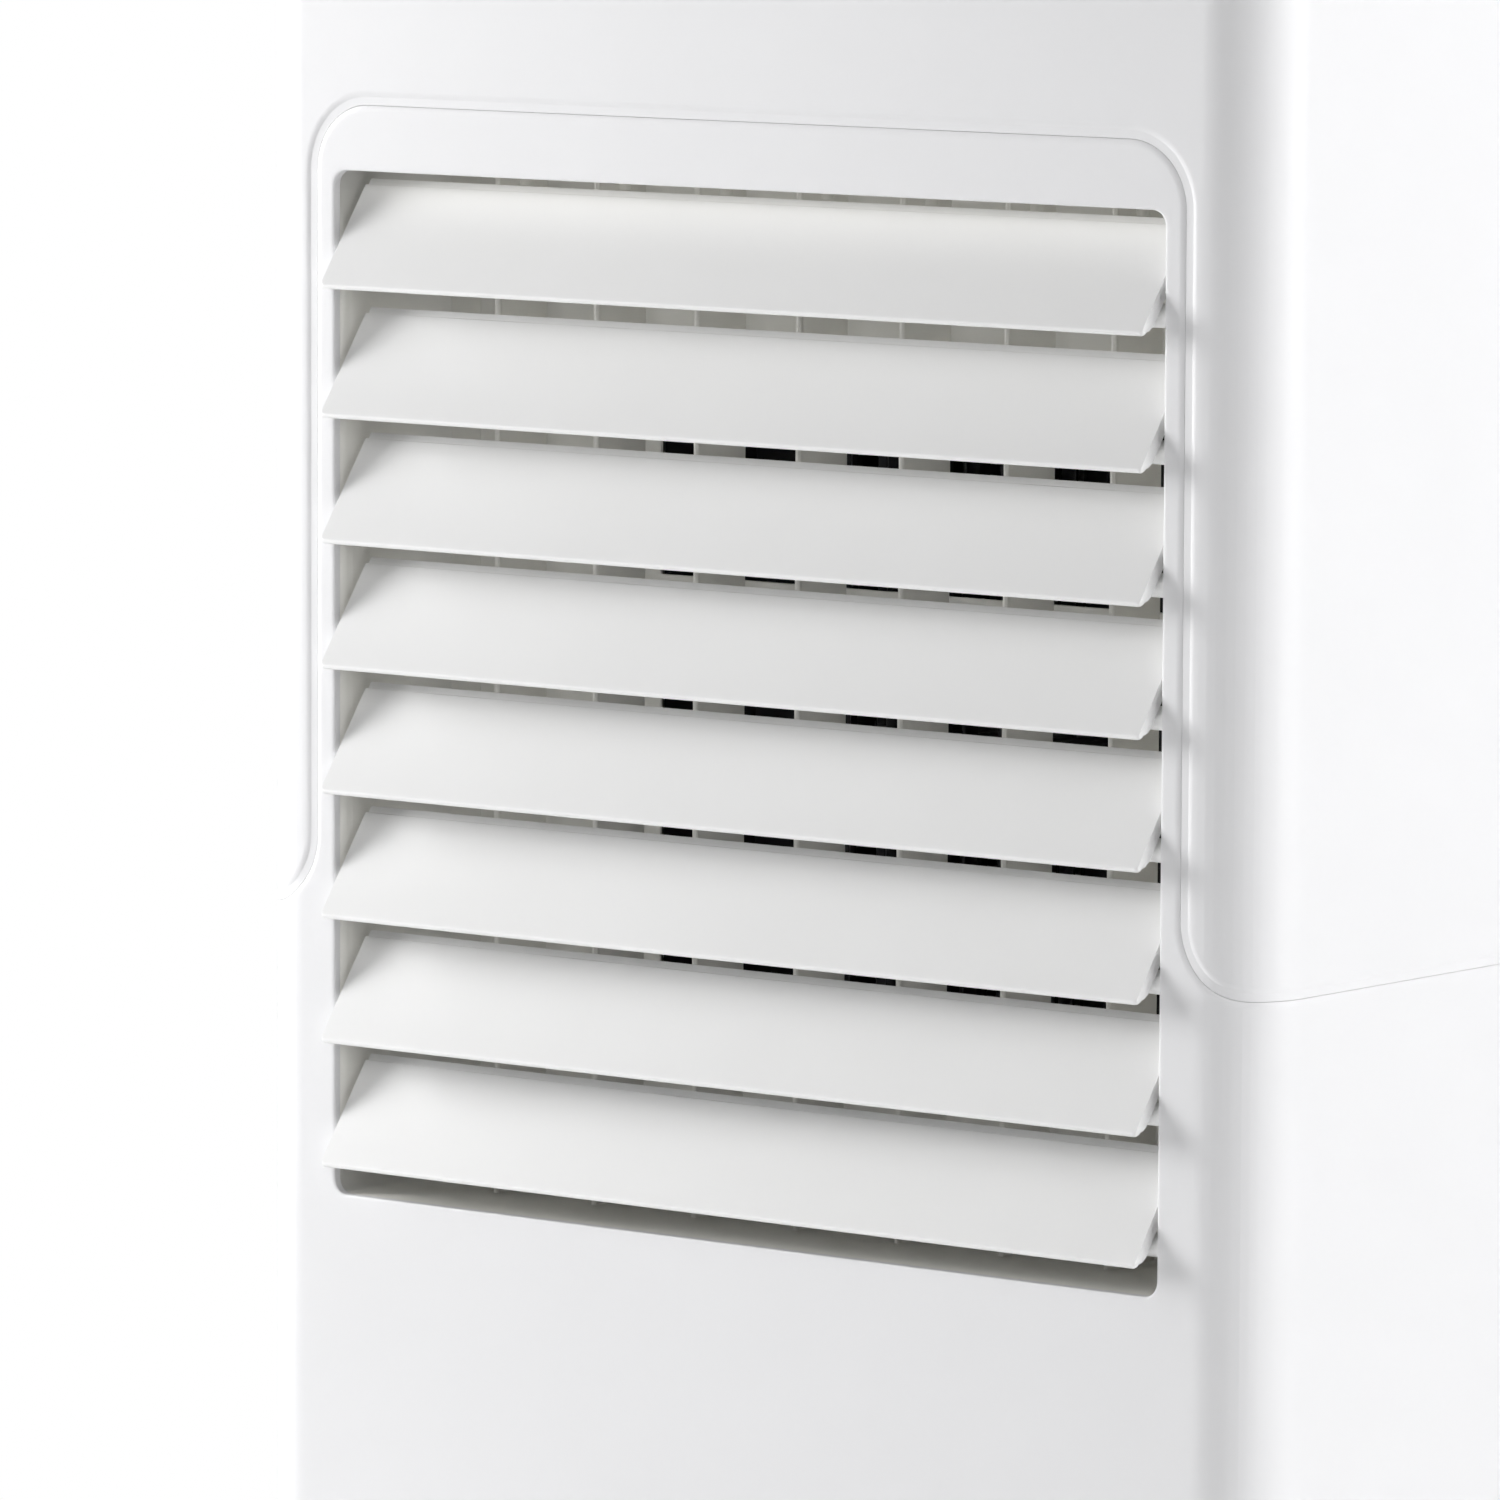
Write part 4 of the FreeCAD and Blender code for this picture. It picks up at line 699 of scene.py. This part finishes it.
def build_filter():
    """The sliding filter: its frame, the cap in the casing's side, and the woven net."""
    bm = bmesh.new()
    y = (FILTER_FRONT, FILTER_REAR)
    low, high = FILTER_LOW, FILTER_HIGH
    outline = [(-140, low), (174, low), (174, high), (-140, high)]
    windows = [rounded(half, low + 8, high - 8, 4, 5, centre) for half, centre in ((64, -68.0), (68, 72.0))]
    add_plate(bm, outline, windows, "XZ", *y)
    for z in (108, 150, 192):
        add_box(bm, (-132, 140), (y[0] + 0.6, y[0] + 2.2), (z - 1, z + 1))
    piece("air_filter_frame", bm, "air_filter", NET, ("air_filter",), bevel=0.5)
    bm = bmesh.new()
    cap = [(173.5, y[0]), (180.4, y[0]), (180.9, y[0] + 0.5), (180.9, y[1] - 0.5), (180.4, y[1]),
           (173.5, y[1])]
    add_prism(bm, cap, "XY", low, high)
    pull = [(180.4, y[0] + 0.2), (184.2, y[0] + 1.0), (184.9, y[0] + 1.8), (184.9, y[1] - 1.8),
            (184.2, y[1] - 1.0), (180.4, y[1] - 0.2)]
    add_prism(bm, pull, "XY", 140, 160)
    for z in (143, 147, 150, 153, 157):
        add_box(bm, (184.5, 185.0), (y[0] + 1.2, y[1] - 1.2), (z - 0.5, z + 0.5))
    piece("air_filter_cap", bm, "air_filter", WHITE, bevel=0.25)
    bm = bmesh.new()
    middle = y[0] + 3
    for step in range(69):
        x = -136 + 4 * step
        if -4 < x < 4:
            continue
        add_box(bm, (x - 0.3, x + 0.3), (middle - 0.3, middle + 0.1), (56, 244))
    for step in range(47):
        z = 58 + 4 * step
        add_box(bm, (-134, 142), (middle - 0.05, middle + 0.35), (z - 0.3, z + 0.3))
    piece("air_filter_net", bm, "air_filter", NET)


# ---------------------------------------------------------------- controls

def stroke(points, width):
    """The outline of a thin printed line through points, with square ends."""
    left = []
    right = []
    for k, point in enumerate(points):
        before = Vector(points[max(0, k - 1)])
        after = Vector(points[min(len(points) - 1, k + 1)])
        side = (after - before).normalized().orthogonal() * width / 2
        left.append(tuple(Vector(point) + side))
        right.append(tuple(Vector(point) - side))
    return left + right[::-1]


def symbol(kind, x, y):
    """Printed strokes for one generic button symbol."""
    if kind == "power":
        return [stroke(arc(x, y, 2.3, 125, 415), 0.5), stroke([(x, y + 0.4), (x, y + 3.0)], 0.5)]
    if kind == "mode":
        return [stroke(arc(x, y, 2.6, t + 180, t, 1), 0.45) for t in (30, 90, 150)]
    if kind == "fan_speed":
        strokes = [disc(x, y, 0.55, 12)]
        for t in (90, 210, 330):
            hub = arc(x, y, 1.5, t, t, 1)[0]
            strokes.append(stroke(arc(*hub, 1.1, t - 190, t + 60, 12), 0.5))
        return strokes
    strokes = [stroke([(x - 2.2, y), (x + 2.2, y)], 0.55)]
    if kind == "warmer":
        strokes += [stroke([(x, y + 0.35), (x, y + 2.2)], 0.55), stroke([(x, y - 2.2), (x, y - 0.35)], 0.55)]
    return strokes


SEGMENTS = {"2": "abged", "4": "fgbc"}


def digit_segments(digit, x, y):
    """Seven-segment strokes for one digit, 8 mm wide and 15 mm tall."""
    ends = {"a": ((0.8, 15), (7.2, 15)), "b": ((8, 14.2), (8, 8.3)), "c": ((8, 6.7), (8, 0.8)),
            "d": ((0.8, 0), (7.2, 0)), "e": ((0, 6.7), (0, 0.8)), "f": ((0, 14.2), (0, 8.3)),
            "g": ((0.8, 7.5), (7.2, 7.5))}
    return [stroke([(x + a, y + b) for a, b in ends[name]], 1.3) for name in SEGMENTS[digit]]


BUTTONS = ("power", "mode", "fan_speed", "cooler", "warmer")
BUTTON_FIRST, BUTTON_PITCH = -20, 26


def build_controls():
    """The fascia on top, its display and the five push buttons."""
    middle = (FASCIA_FRONT + FASCIA_REAR) / 2
    bm = bmesh.new()
    window = rounded(30.3, middle - 15.3, middle + 15.3, 1.5, 4, -75.0)
    button_holes = [disc(BUTTON_FIRST + BUTTON_PITCH * k, middle, 6.3, 40) for k in range(5)]
    outline = rounded(FASCIA_HALF - 0.3, FASCIA_FRONT + 0.3, FASCIA_REAR - 0.3, 2.0, 5)
    add_plate(bm, outline, [window] + button_holes, "XY", TOP - 2.6, TOP - 0.4)
    skirt, hollow = (rounded(FASCIA_HALF - inset, FASCIA_FRONT + inset, FASCIA_REAR - inset, radius, 3)
                     for inset, radius in ((4, 1.5), (6, 1.0)))
    add_plate(bm, skirt, [hollow], "XY", TOP - 14, TOP - 2.5)
    piece("control_fascia_plate", bm, "chassis", WHITE, ("control_fascia",), bevel=0.35)

    bm = bmesh.new()
    add_prism(bm, rounded(30.0, middle - 15, middle + 15, 1.3, 5, -75.0), "XY", TOP - 3.4, TOP - 0.8)
    piece("display_window", bm, "chassis", LENS, ("display_lens",), bevel=0.3)
    bm = bmesh.new()
    for k, digit in enumerate("24"):
        for outline in digit_segments(digit, -86 + 14 * k, middle - 7.5):
            add_prism(bm, outline, "XY", TOP - 0.85, TOP - 0.77)
    add_prism(bm, stroke(arc(-59.5, middle + 6.2, 1.5, 0, 352, 24), 0.7), "XY", TOP - 0.85, TOP - 0.77)
    piece("display_digits", bm, "chassis", GLOW)

    for k, name in enumerate(BUTTONS):
        x = BUTTON_FIRST + BUTTON_PITCH * k
        bm = bmesh.new()
        cap = [(0, 0), (7.5, 0), (7.5, 2.2), (6.0, 2.2), (6.0, 5.2), (5.9, 5.6), (5.6, 5.95), (5.1, 6.15),
               (4.2, 6.12), (2.6, 6.0), (0, 5.95)]
        add_lathe(bm, cap, (x, middle, TOP - 5), "Z", 48)
        node = "button_" + name
        piece(node + "_cap", bm, node, BUTTON, (node,), sharp=45)
        bm = bmesh.new()
        for outline in symbol(name, x, middle):
            add_prism(bm, outline, "XY", TOP + 0.85, TOP + 1.06)
        piece(node + "_symbol", bm, node, MARK)


# ---------------------------------------------------------------- screws, feet, inlet, drain

def build_small_parts():
    """Case screws, feet, the power inlet's gland and the drain nozzle."""
    bm = bmesh.new()
    for side, height in SCREW_SPOTS:
        centre = (side * HALF_WIDTH, CASE_REAR - SCREW_INSET, height)
        head = [(0, 0.05), (4.0, 0.05), (4.0, 0.7), (3.7, 1.35), (3.0, 1.95), (2.1, 2.32), (1.9, 2.36)]
        add_cross_head(bm, head, centre, side, 1.3)
        shank = (centre[0] - (8 if side > 0 else 1), centre[1], height)
        add_rod(bm, "X", shank, 2.0, 9.0, 0.4, 20)
    piece("case_screw_set", bm, "chassis", SCREW, ("case_screws",), sharp=45)

    bm = bmesh.new()
    for x in (-140, 140):
        for y in (-105, 110):
            profile = [(0, 1.0), (4.2, 1.0), (4.6, 0.4), (5.2, 0.0), (9.6, 0.0), (10.6, 0.5), (11.2, 1.4),
                       (12.0, 8.6), (11.8, 9.5), (11.2, 10.0), (3.0, 10.0), (3.0, 11.35), (4.4, 11.4),
                       (4.2, 12.6), (3.2, 13.8), (2.6, 15.0), (0, 15.0)]
            add_lathe(bm, profile, (x, y, 0), "Z", 40)
    piece("rubber_feet", bm, "chassis", RUBBER, ("feet",), sharp=50)

    bm = bmesh.new()
    profile = [(4.0, -9.0), (8.4, -9.0), (9.0, -8.4), (9.0, 0.1), (13.0, 0.1), (13.0, 2.2), (12.2, 3.1),
               (8.2, 3.1), (7.9, 3.6), (7.3, 4.0), (7.3, 5.2), (6.7, 5.5), (6.7, 6.1), (7.2, 6.4),
               (7.2, 7.4), (6.6, 7.7), (6.6, 8.3), (7.0, 8.6), (7.0, 9.7), (6.4, 10.4), (5.0, 11.0),
               (4.0, 11.0), (4.0, -9.0)]
    add_lathe(bm, profile, (HALF_WIDTH, CASE_REAR - INLET_INSET, INLET_HEIGHT), "X", 40)
    piece("inlet_gland", bm, "chassis", BLACK, ("power_gland",), sharp=40)

    bm = bmesh.new()
    profile = [(6.0, 0), (7.9, 0), (7.9, 5.4), (10.4, 5.4), (11.0, 6.0), (11.0, 7.8), (10.4, 8.4),
               (7.9, 8.4), (7.9, 12.4), (7.3, 13.2), (6.7, 13.4), (6.2, 13.2), (6.0, 12.6), (6.0, 0)]
    add_lathe(bm, profile, (120, 131.6, 24), "Y", 40)
    piece("drain_nozzle", bm, "chassis", BLACK, ("drain_spout",), sharp=40)


def add_cross_head(bm, profile, centre, side, depth):
    """A pan head on a side wall, with a cross recess, as one closed solid."""
    segments = 32
    flip = 1 if side > 0 else -1
    rows = ring_rows(bm, profile, centre, "X", segments, flip)
    faces = join_rows(bm, rows)
    rim = rows[-1]
    arm, half = 1.5, 0.36
    plus = [(arm, -half), (arm, half), (half, half), (half, arm), (-half, arm), (-half, half),
            (-arm, half), (-arm, -half), (-half, -half), (-half, -arm), (half, -arm), (half, -half)]
    top = profile[-1][1]
    points = [Vector(p) for p in disc(0, 0, profile[-1][0], segments) + plus]
    loops = [(k, (k + 1) % segments) for k in range(segments)]
    loops += [(segments + k, segments + (k + 1) % 12) for k in range(12)]
    _, _, triangles, originals, _, _ = delaunay_2d_cdt(points, loops, [], 0, 1e-6)
    mouth = [bm.verts.new(spot("X", centre, a, b, flip * top)) for a, b in plus]
    floor = [bm.verts.new(spot("X", centre, a * 0.8, b * 0.8, flip * (top - depth))) for a, b in plus]
    verts = rim + mouth
    for triangle in triangles:
        sources = [originals[i][0] for i in triangle]
        middle = sum((points[i] for i in sources), Vector((0, 0))) / 3
        if inside(middle, plus):
            faces.append(bm.faces.new([floor[i - segments] for i in sources]))
        else:
            faces.append(bm.faces.new([verts[i] for i in sources]))
    for k in range(12):
        n = (k + 1) % 12
        faces.append(bm.faces.new((mouth[k], mouth[n], floor[n], floor[k])))
    bmesh.ops.recalc_face_normals(bm, faces=faces)


ANGLE_FRONT, ANGLE_LOW, ANGLE_HIGH = 46.0, 60.5, 719.5


def build_mounts():
    """Steel angles with folded webs, and the foam seals in front of them."""
    angles = bmesh.new()
    seals = bmesh.new()
    for side in (-1, 1):
        face = [(side * a, b) for a, b in ((171.2, ANGLE_LOW), (206.5, ANGLE_LOW), (208, ANGLE_LOW + 1.5),
                                           (208, ANGLE_HIGH - 1.5), (206.5, ANGLE_HIGH), (171.2, ANGLE_HIGH))]
        cut = [disc(side * 195.0, z, 2.75) for z in (110, 290, 490, 670)]
        add_plate(angles, face, cut, "XZ", ANGLE_FRONT, ANGLE_FRONT + 1.5)
        fold = [(side * 170.1, 47.4)] + [(side * a, b) for a, b in arc(171.8, 47.7, 1.7, 180, 270, 6)]
        fold += [(side * 171.8, 47.5), (side * 171.6, 47.9), (side * 171.6, 70.0), (side * 170.1, 70.0)]
        add_prism(angles, list(dict.fromkeys(fold)), "XY", ANGLE_LOW, ANGLE_HIGH)
        bar = [(side * a, b) for a, b in ((185, 64), (206.4, 64), (207, 64.6), (207, 715.4), (206.4, 716),
                                          (184.6, 716), (184, 715.4), (184, 64.6), (184.6, 64))]
        add_plate(seals, bar, cut, "XZ", ANGLE_FRONT - 6, ANGLE_FRONT - 0.1)
    piece("mounting_angles", angles, "chassis", ZINC, ("mounting_flanges",), sharp=30)
    piece("foam_seals", seals, "chassis", FOAM, ("window_seals",), sharp=30)


CABINET_HALF, CABINET_TOP, CABINET_BEND = 170.0, 735.0, 6.0
CABINET_DEPTH = (31.5, 143.4)
GRILLE_REAR = 145.0


def build_cabinet():
    """The outdoor wrap with rounded rear corners, pressed slots, and its screwed grille."""
    bm = bmesh.new()
    for side in (-1, 1):
        slots = []
        for row in range(14):
            for start in (62, 100):
                slots.append(rounded(15, 330 + 24 * row, 336 + 24 * row, 2.9, 5, start + 15.0))
        near, far = CABINET_DEPTH
        low, high = BOTTOM + 0.2, CABINET_TOP - CABINET_BEND
        wall = [(near, low), (far, low), (far, high), (near, high)]
        add_plate(bm, wall, slots, "YZ", *sorted((side * (CABINET_HALF - 1), side * CABINET_HALF)))
    bend = CABINET_HALF - CABINET_BEND
    middle = CABINET_TOP - CABINET_BEND
    roof = [(-169.98, 728.5)] + arc(-bend, middle, 5.98, 180, 90, 6) + arc(bend, middle, 5.98, 90, 0, 6)
    roof += [(169.98, 728.5), (169.02, 728.5)] + arc(bend, middle, 5.0, 0, 90, 6)
    roof += arc(-bend, middle, 5.0, 90, 180, 6) + [(-169.02, 728.5)]
    add_prism(bm, roof, "XZ", *CABINET_DEPTH)
    piece("cabinet_wrap", bm, "chassis", PAINT, ("rear_cabinet",), sharp=30)

    bm = bmesh.new()
    slots = []
    for row in range(30):
        for column in (-1, 0, 1):
            slots.append(rounded(44, 262 + 15 * row, 271 + 15 * row, 4.4, 5, 98.0 * column))
    plate = rounded(CABINET_HALF, 42, CABINET_TOP, CABINET_BEND, 6)
    add_plate(bm, plate, slots, "XZ", GRILLE_REAR - 1.2, GRILLE_REAR)
    for row in range(31):
        for column in (-1, 0, 1):
            add_pressed_rib(bm, 98.0 * column, 259 + 15 * row)
    piece("outdoor_grille", bm, "chassis", PAINT, ("rear_grille",), sharp=30)
    bm = bmesh.new()
    for x in (-161, 161):
        for z in (54, 250, 480, 723):
            head = [(0, 0), (3.6, 0), (3.5, 0.8), (2.9, 1.5), (1.7, 1.9), (1.5, 1.5), (0.0, 0.9)]
            add_lathe(bm, head, (x, GRILLE_REAR - 0.05, z), "Y", 24)
    piece("grille_screws", bm, "chassis", SCREW, sharp=40)


def add_pressed_rib(bm, x, z):
    """A low pressed rib along the bar between two rows of slots."""
    section = [(144.9, z - 1.6), (145.5, z - 1.0), (145.8, z), (145.5, z + 1.0), (144.9, z + 1.6)]
    rows = []
    for end, scale in ((-41.5, 0.25), (-40.0, 1.0), (40.0, 1.0), (41.5, 0.25)):
        rows.append([bm.verts.new((x + end, 144.9 + (y - 144.9) * scale, z + (b - z) * scale))
                     for y, b in section])
    faces = [bm.faces.new(rows[0]), bm.faces.new(rows[-1])] + join_rows(bm, rows)
    bmesh.ops.recalc_face_normals(bm, faces=faces)


# ---------------------------------------------------------------- coils

TUBE, TUBE_BEND = 3.2, 6.0
COIL_DEPTH = 24


def build_coil(name, node, half, y, z, bends, step):
    """A coil of thin upright fins, end plates and hairpin tubes."""
    bm = bmesh.new()
    count = int(2 * half / step)
    for k in range(count + 1):
        x = -half + 2 * half * k / count
        add_box(bm, (x - 0.12, x + 0.12), (y + 0.4, y + COIL_DEPTH - 0.4), (z[0] + 0.5, z[1] - 0.5))
    for side in (-1, 1):
        add_box(bm, sorted((side * (half - 0.2), side * (half + 1.0))), (y, y + COIL_DEPTH), z)
    piece(name + "_fins", bm, "chassis", FINS, (node,))
    bm = bmesh.new()
    for k in range(bends):
        height = z[0] + 16 + 24 * k
        for dz in (-TUBE_BEND, TUBE_BEND):
            add_rod(bm, "X", (-half - 1, y + COIL_DEPTH / 2, height + dz), TUBE, 2 * half + 2, 0.2, 12)
        for side in (-1, 1):
            add_hairpin(bm, side * (half + 0.9), y + COIL_DEPTH / 2, height, side)
    piece(name + "_tubes", bm, "chassis", COPPER, sharp=50)


def add_hairpin(bm, x, y, z, side):
    """A half ring of tube, closed at both ends."""
    rows = []
    for k in range(13):
        turn = math.radians(-90 + 180 * k / 12)
        row = []
        for j in range(12):
            ring = math.tau * j / 12
            radius = TUBE_BEND + TUBE * math.cos(ring)
            row.append(bm.verts.new((x + side * radius * math.cos(turn), y + TUBE * math.sin(ring),
                                     z + radius * math.sin(turn))))
        rows.append(row)
    faces = [bm.faces.new(rows[0]), bm.faces.new(rows[-1])] + join_rows(bm, rows)
    bmesh.ops.recalc_face_normals(bm, faces=faces)


# ---------------------------------------------------------------- camera, floor, light

FLOOR_REACH = 1.35      # metres
LAMP_AIM = 0.48         # height that the lamps point at, in metres
SKY = 0.03              # light from the backdrop itself
LAMPS = [
    # name, azimuth from the front (towards +X), elevation, distance, size, watts
    ("key_left", -75.0, 15.0, 2.6, 1.4, 22.5),
    ("side_left", -75.0, 15.0, 1.4, 0.77, 3.4),
    ("near_left", -62.0, 12.0, 1.4, 0.77, 12.0),
    ("front_right", 20.0, 20.0, 2.6, 1.4, 19.5),
    ("side_right", 98.0, 10.0, 1.4, 0.77, 5.6),
    ("rim_right", 112.0, 15.0, 1.4, 0.77, 7.9),
    ("behind", 180.0, 25.0, 2.6, 1.6, 26.0),
    ("above", 180.0, 72.0, 2.4, 1.2, 14.0),
]


def build_stage():
    """A round pale floor."""
    bm = bmesh.new()
    bm.faces.new([bm.verts.new((a, b, 0)) for a, b in disc(0, 0, FLOOR_REACH, 96)])
    mesh = bpy.data.meshes.new("floor")
    bm.to_mesh(mesh)
    bm.free()
    floor = bpy.data.objects.new("floor", mesh)
    bpy.context.scene.collection.objects.link(floor)
    mat = bpy.data.materials.new("floor_white")
    mat.use_nodes = True
    tree = mat.node_tree
    shader = tree.nodes["Principled BSDF"]
    coords = tree.nodes.new("ShaderNodeTexCoord").outputs["Object"]
    tree.links.new(ramp(tree, noise(tree, coords, 2.0), [(0.3, 0.86), (0.7, 0.88)]),
                   shader.inputs["Base Color"])
    shader.inputs["Roughness"].default_value = 0.9
    mesh.materials.append(mat)


def build_light():
    """Large soft lamps round the object, in front of a plain white backdrop."""
    world = bpy.data.worlds.new("studio")
    world.use_nodes = True
    tree = world.node_tree
    sky = tree.nodes["Background"]
    sky.inputs["Color"].default_value = (1, 1, 1, 1)
    backdrop = tree.nodes.new("ShaderNodeMapRange")
    backdrop.inputs["To Min"].default_value = SKY
    backdrop.inputs["To Max"].default_value = 1.0
    tree.links.new(tree.nodes.new("ShaderNodeLightPath").outputs["Is Camera Ray"], backdrop.inputs["Value"])
    tree.links.new(backdrop.outputs[0], sky.inputs["Strength"])
    bpy.context.scene.world = world
    aim = Vector((0, FRONT * MM, LAMP_AIM))
    for name, azimuth, elevation, distance, size, watts in LAMPS:
        data = bpy.data.lights.new(name, "AREA")
        data.shape = "DISK"
        data.size = size
        data.energy = watts
        lamp = bpy.data.objects.new(name, data)
        bpy.context.scene.collection.objects.link(lamp)
        turn, lift = math.radians(azimuth), math.radians(elevation)
        away = Vector((math.sin(turn) * math.cos(lift), -math.cos(turn) * math.cos(lift), math.sin(lift)))
        lamp.visible_camera = False
        lamp.location = aim + distance * away
        lamp.rotation_euler = (-away).to_track_quat("-Z", "Y").to_euler()


VIEW_ANGLES = (38.285, 6.323, 0.238)     # round to the right, up and roll, in degrees
VIEW_AIM = Vector((0.005456, FRONT * MM, 0.48394))
VIEW_DISTANCE = 2.92294
VIEW_LENS = 251.59


def build_camera():
    """The viewpoint: to the right of the front, a little above the outlet."""
    yaw, pitch, roll = (math.radians(angle) for angle in VIEW_ANGLES)
    ahead = Vector((-math.sin(yaw) * math.cos(pitch), math.cos(yaw) * math.cos(pitch), -math.sin(pitch)))
    right = Vector((math.cos(yaw), math.sin(yaw), 0))
    up = right.cross(ahead)
    right, up = (math.cos(roll) * right + math.sin(roll) * up, math.cos(roll) * up - math.sin(roll) * right)
    data = bpy.data.cameras.new("camera")
    data.lens = VIEW_LENS
    data.sensor_width = 36.0
    data.clip_end = 100.0
    camera = bpy.data.objects.new("camera", data)
    bpy.context.scene.collection.objects.link(camera)
    spot_at = VIEW_AIM - VIEW_DISTANCE * ahead
    camera.matrix_world = Matrix.Translation(spot_at) @ Matrix((right, up, -ahead)).transposed().to_4x4()
    bpy.context.scene.camera = camera
    bpy.context.scene.view_settings.view_transform = "Standard"


build_camera()
build_stage()
build_light()
build_casing()
for number in range(1, 9):
    build_louvre(number)
for number in range(1, 8):
    build_vane(number)
build_duct_details()
build_intake()
build_filter()
build_controls()
build_small_parts()
build_mounts()
build_cabinet()
build_coil("condenser", "condenser_coil", 145.0, 112.0, (262.0, 722.0), 19, 2.2)
build_coil("evaporator", "evaporator_coil", 139.0, FRONT + 42, (64.0, 252.0), 8, 2.2)

SOFTENED = {
    "outlet_duct": 0.0, "louvre_link": 0.4, "vane_link": 0.4, "swing_motor": 0.5, "filter_rails": 0.3,
    "base_pan": 0.3, "bulkhead": 0.3, "control_box": 0.4, "run_capacitor": 1.5, "fan_shroud": 0.3,
    "blower_motor": 1.0, "condenser_motor": 1.0, "condenser_fan": 0.4, "blower_rotor": 0.0,
    "blower_casing": 0.3, "compressor": 0.0, "accumulator": 4.0, "drain_tray": 0.4,
    "control_board": 0.2, "compressor_mounts": 0.5, "blower_shaft": 0.3, "discharge_pipe": 0.0,
    "suction_pipe": 0.0, "capillary_tube": 0.0,
}
SLOT_FINISH = {
    "white_abs": WHITE, "louvre_abs": LOUVRE, "grey_abs": GREY, "black_plastic": BLACK,
    "filter_mesh": NET, "display": LENS, "button_grey": BUTTON, "circuit_board": BOARD,
    "galvanised": ZINC, "cabinet_paint": PAINT, "coil_fins": FINS, "motor_steel": STEEL,
    "copper": COPPER, "rubber_black": RUBBER, "foam_grey": FOAM, "zinc_screw": SCREW,
    "capacitor_case": CAP_CASE,
}
for row in frame["record"]["subparts"]:
    node = frame["nodes"][row["node"]]
    node.data.materials.clear()
    node.data.materials.append(SLOT_FINISH[row["material_slot"]])
    if row["node"] in SOFTENED:
        soften(node, SOFTENED[row["node"]], weld=True)
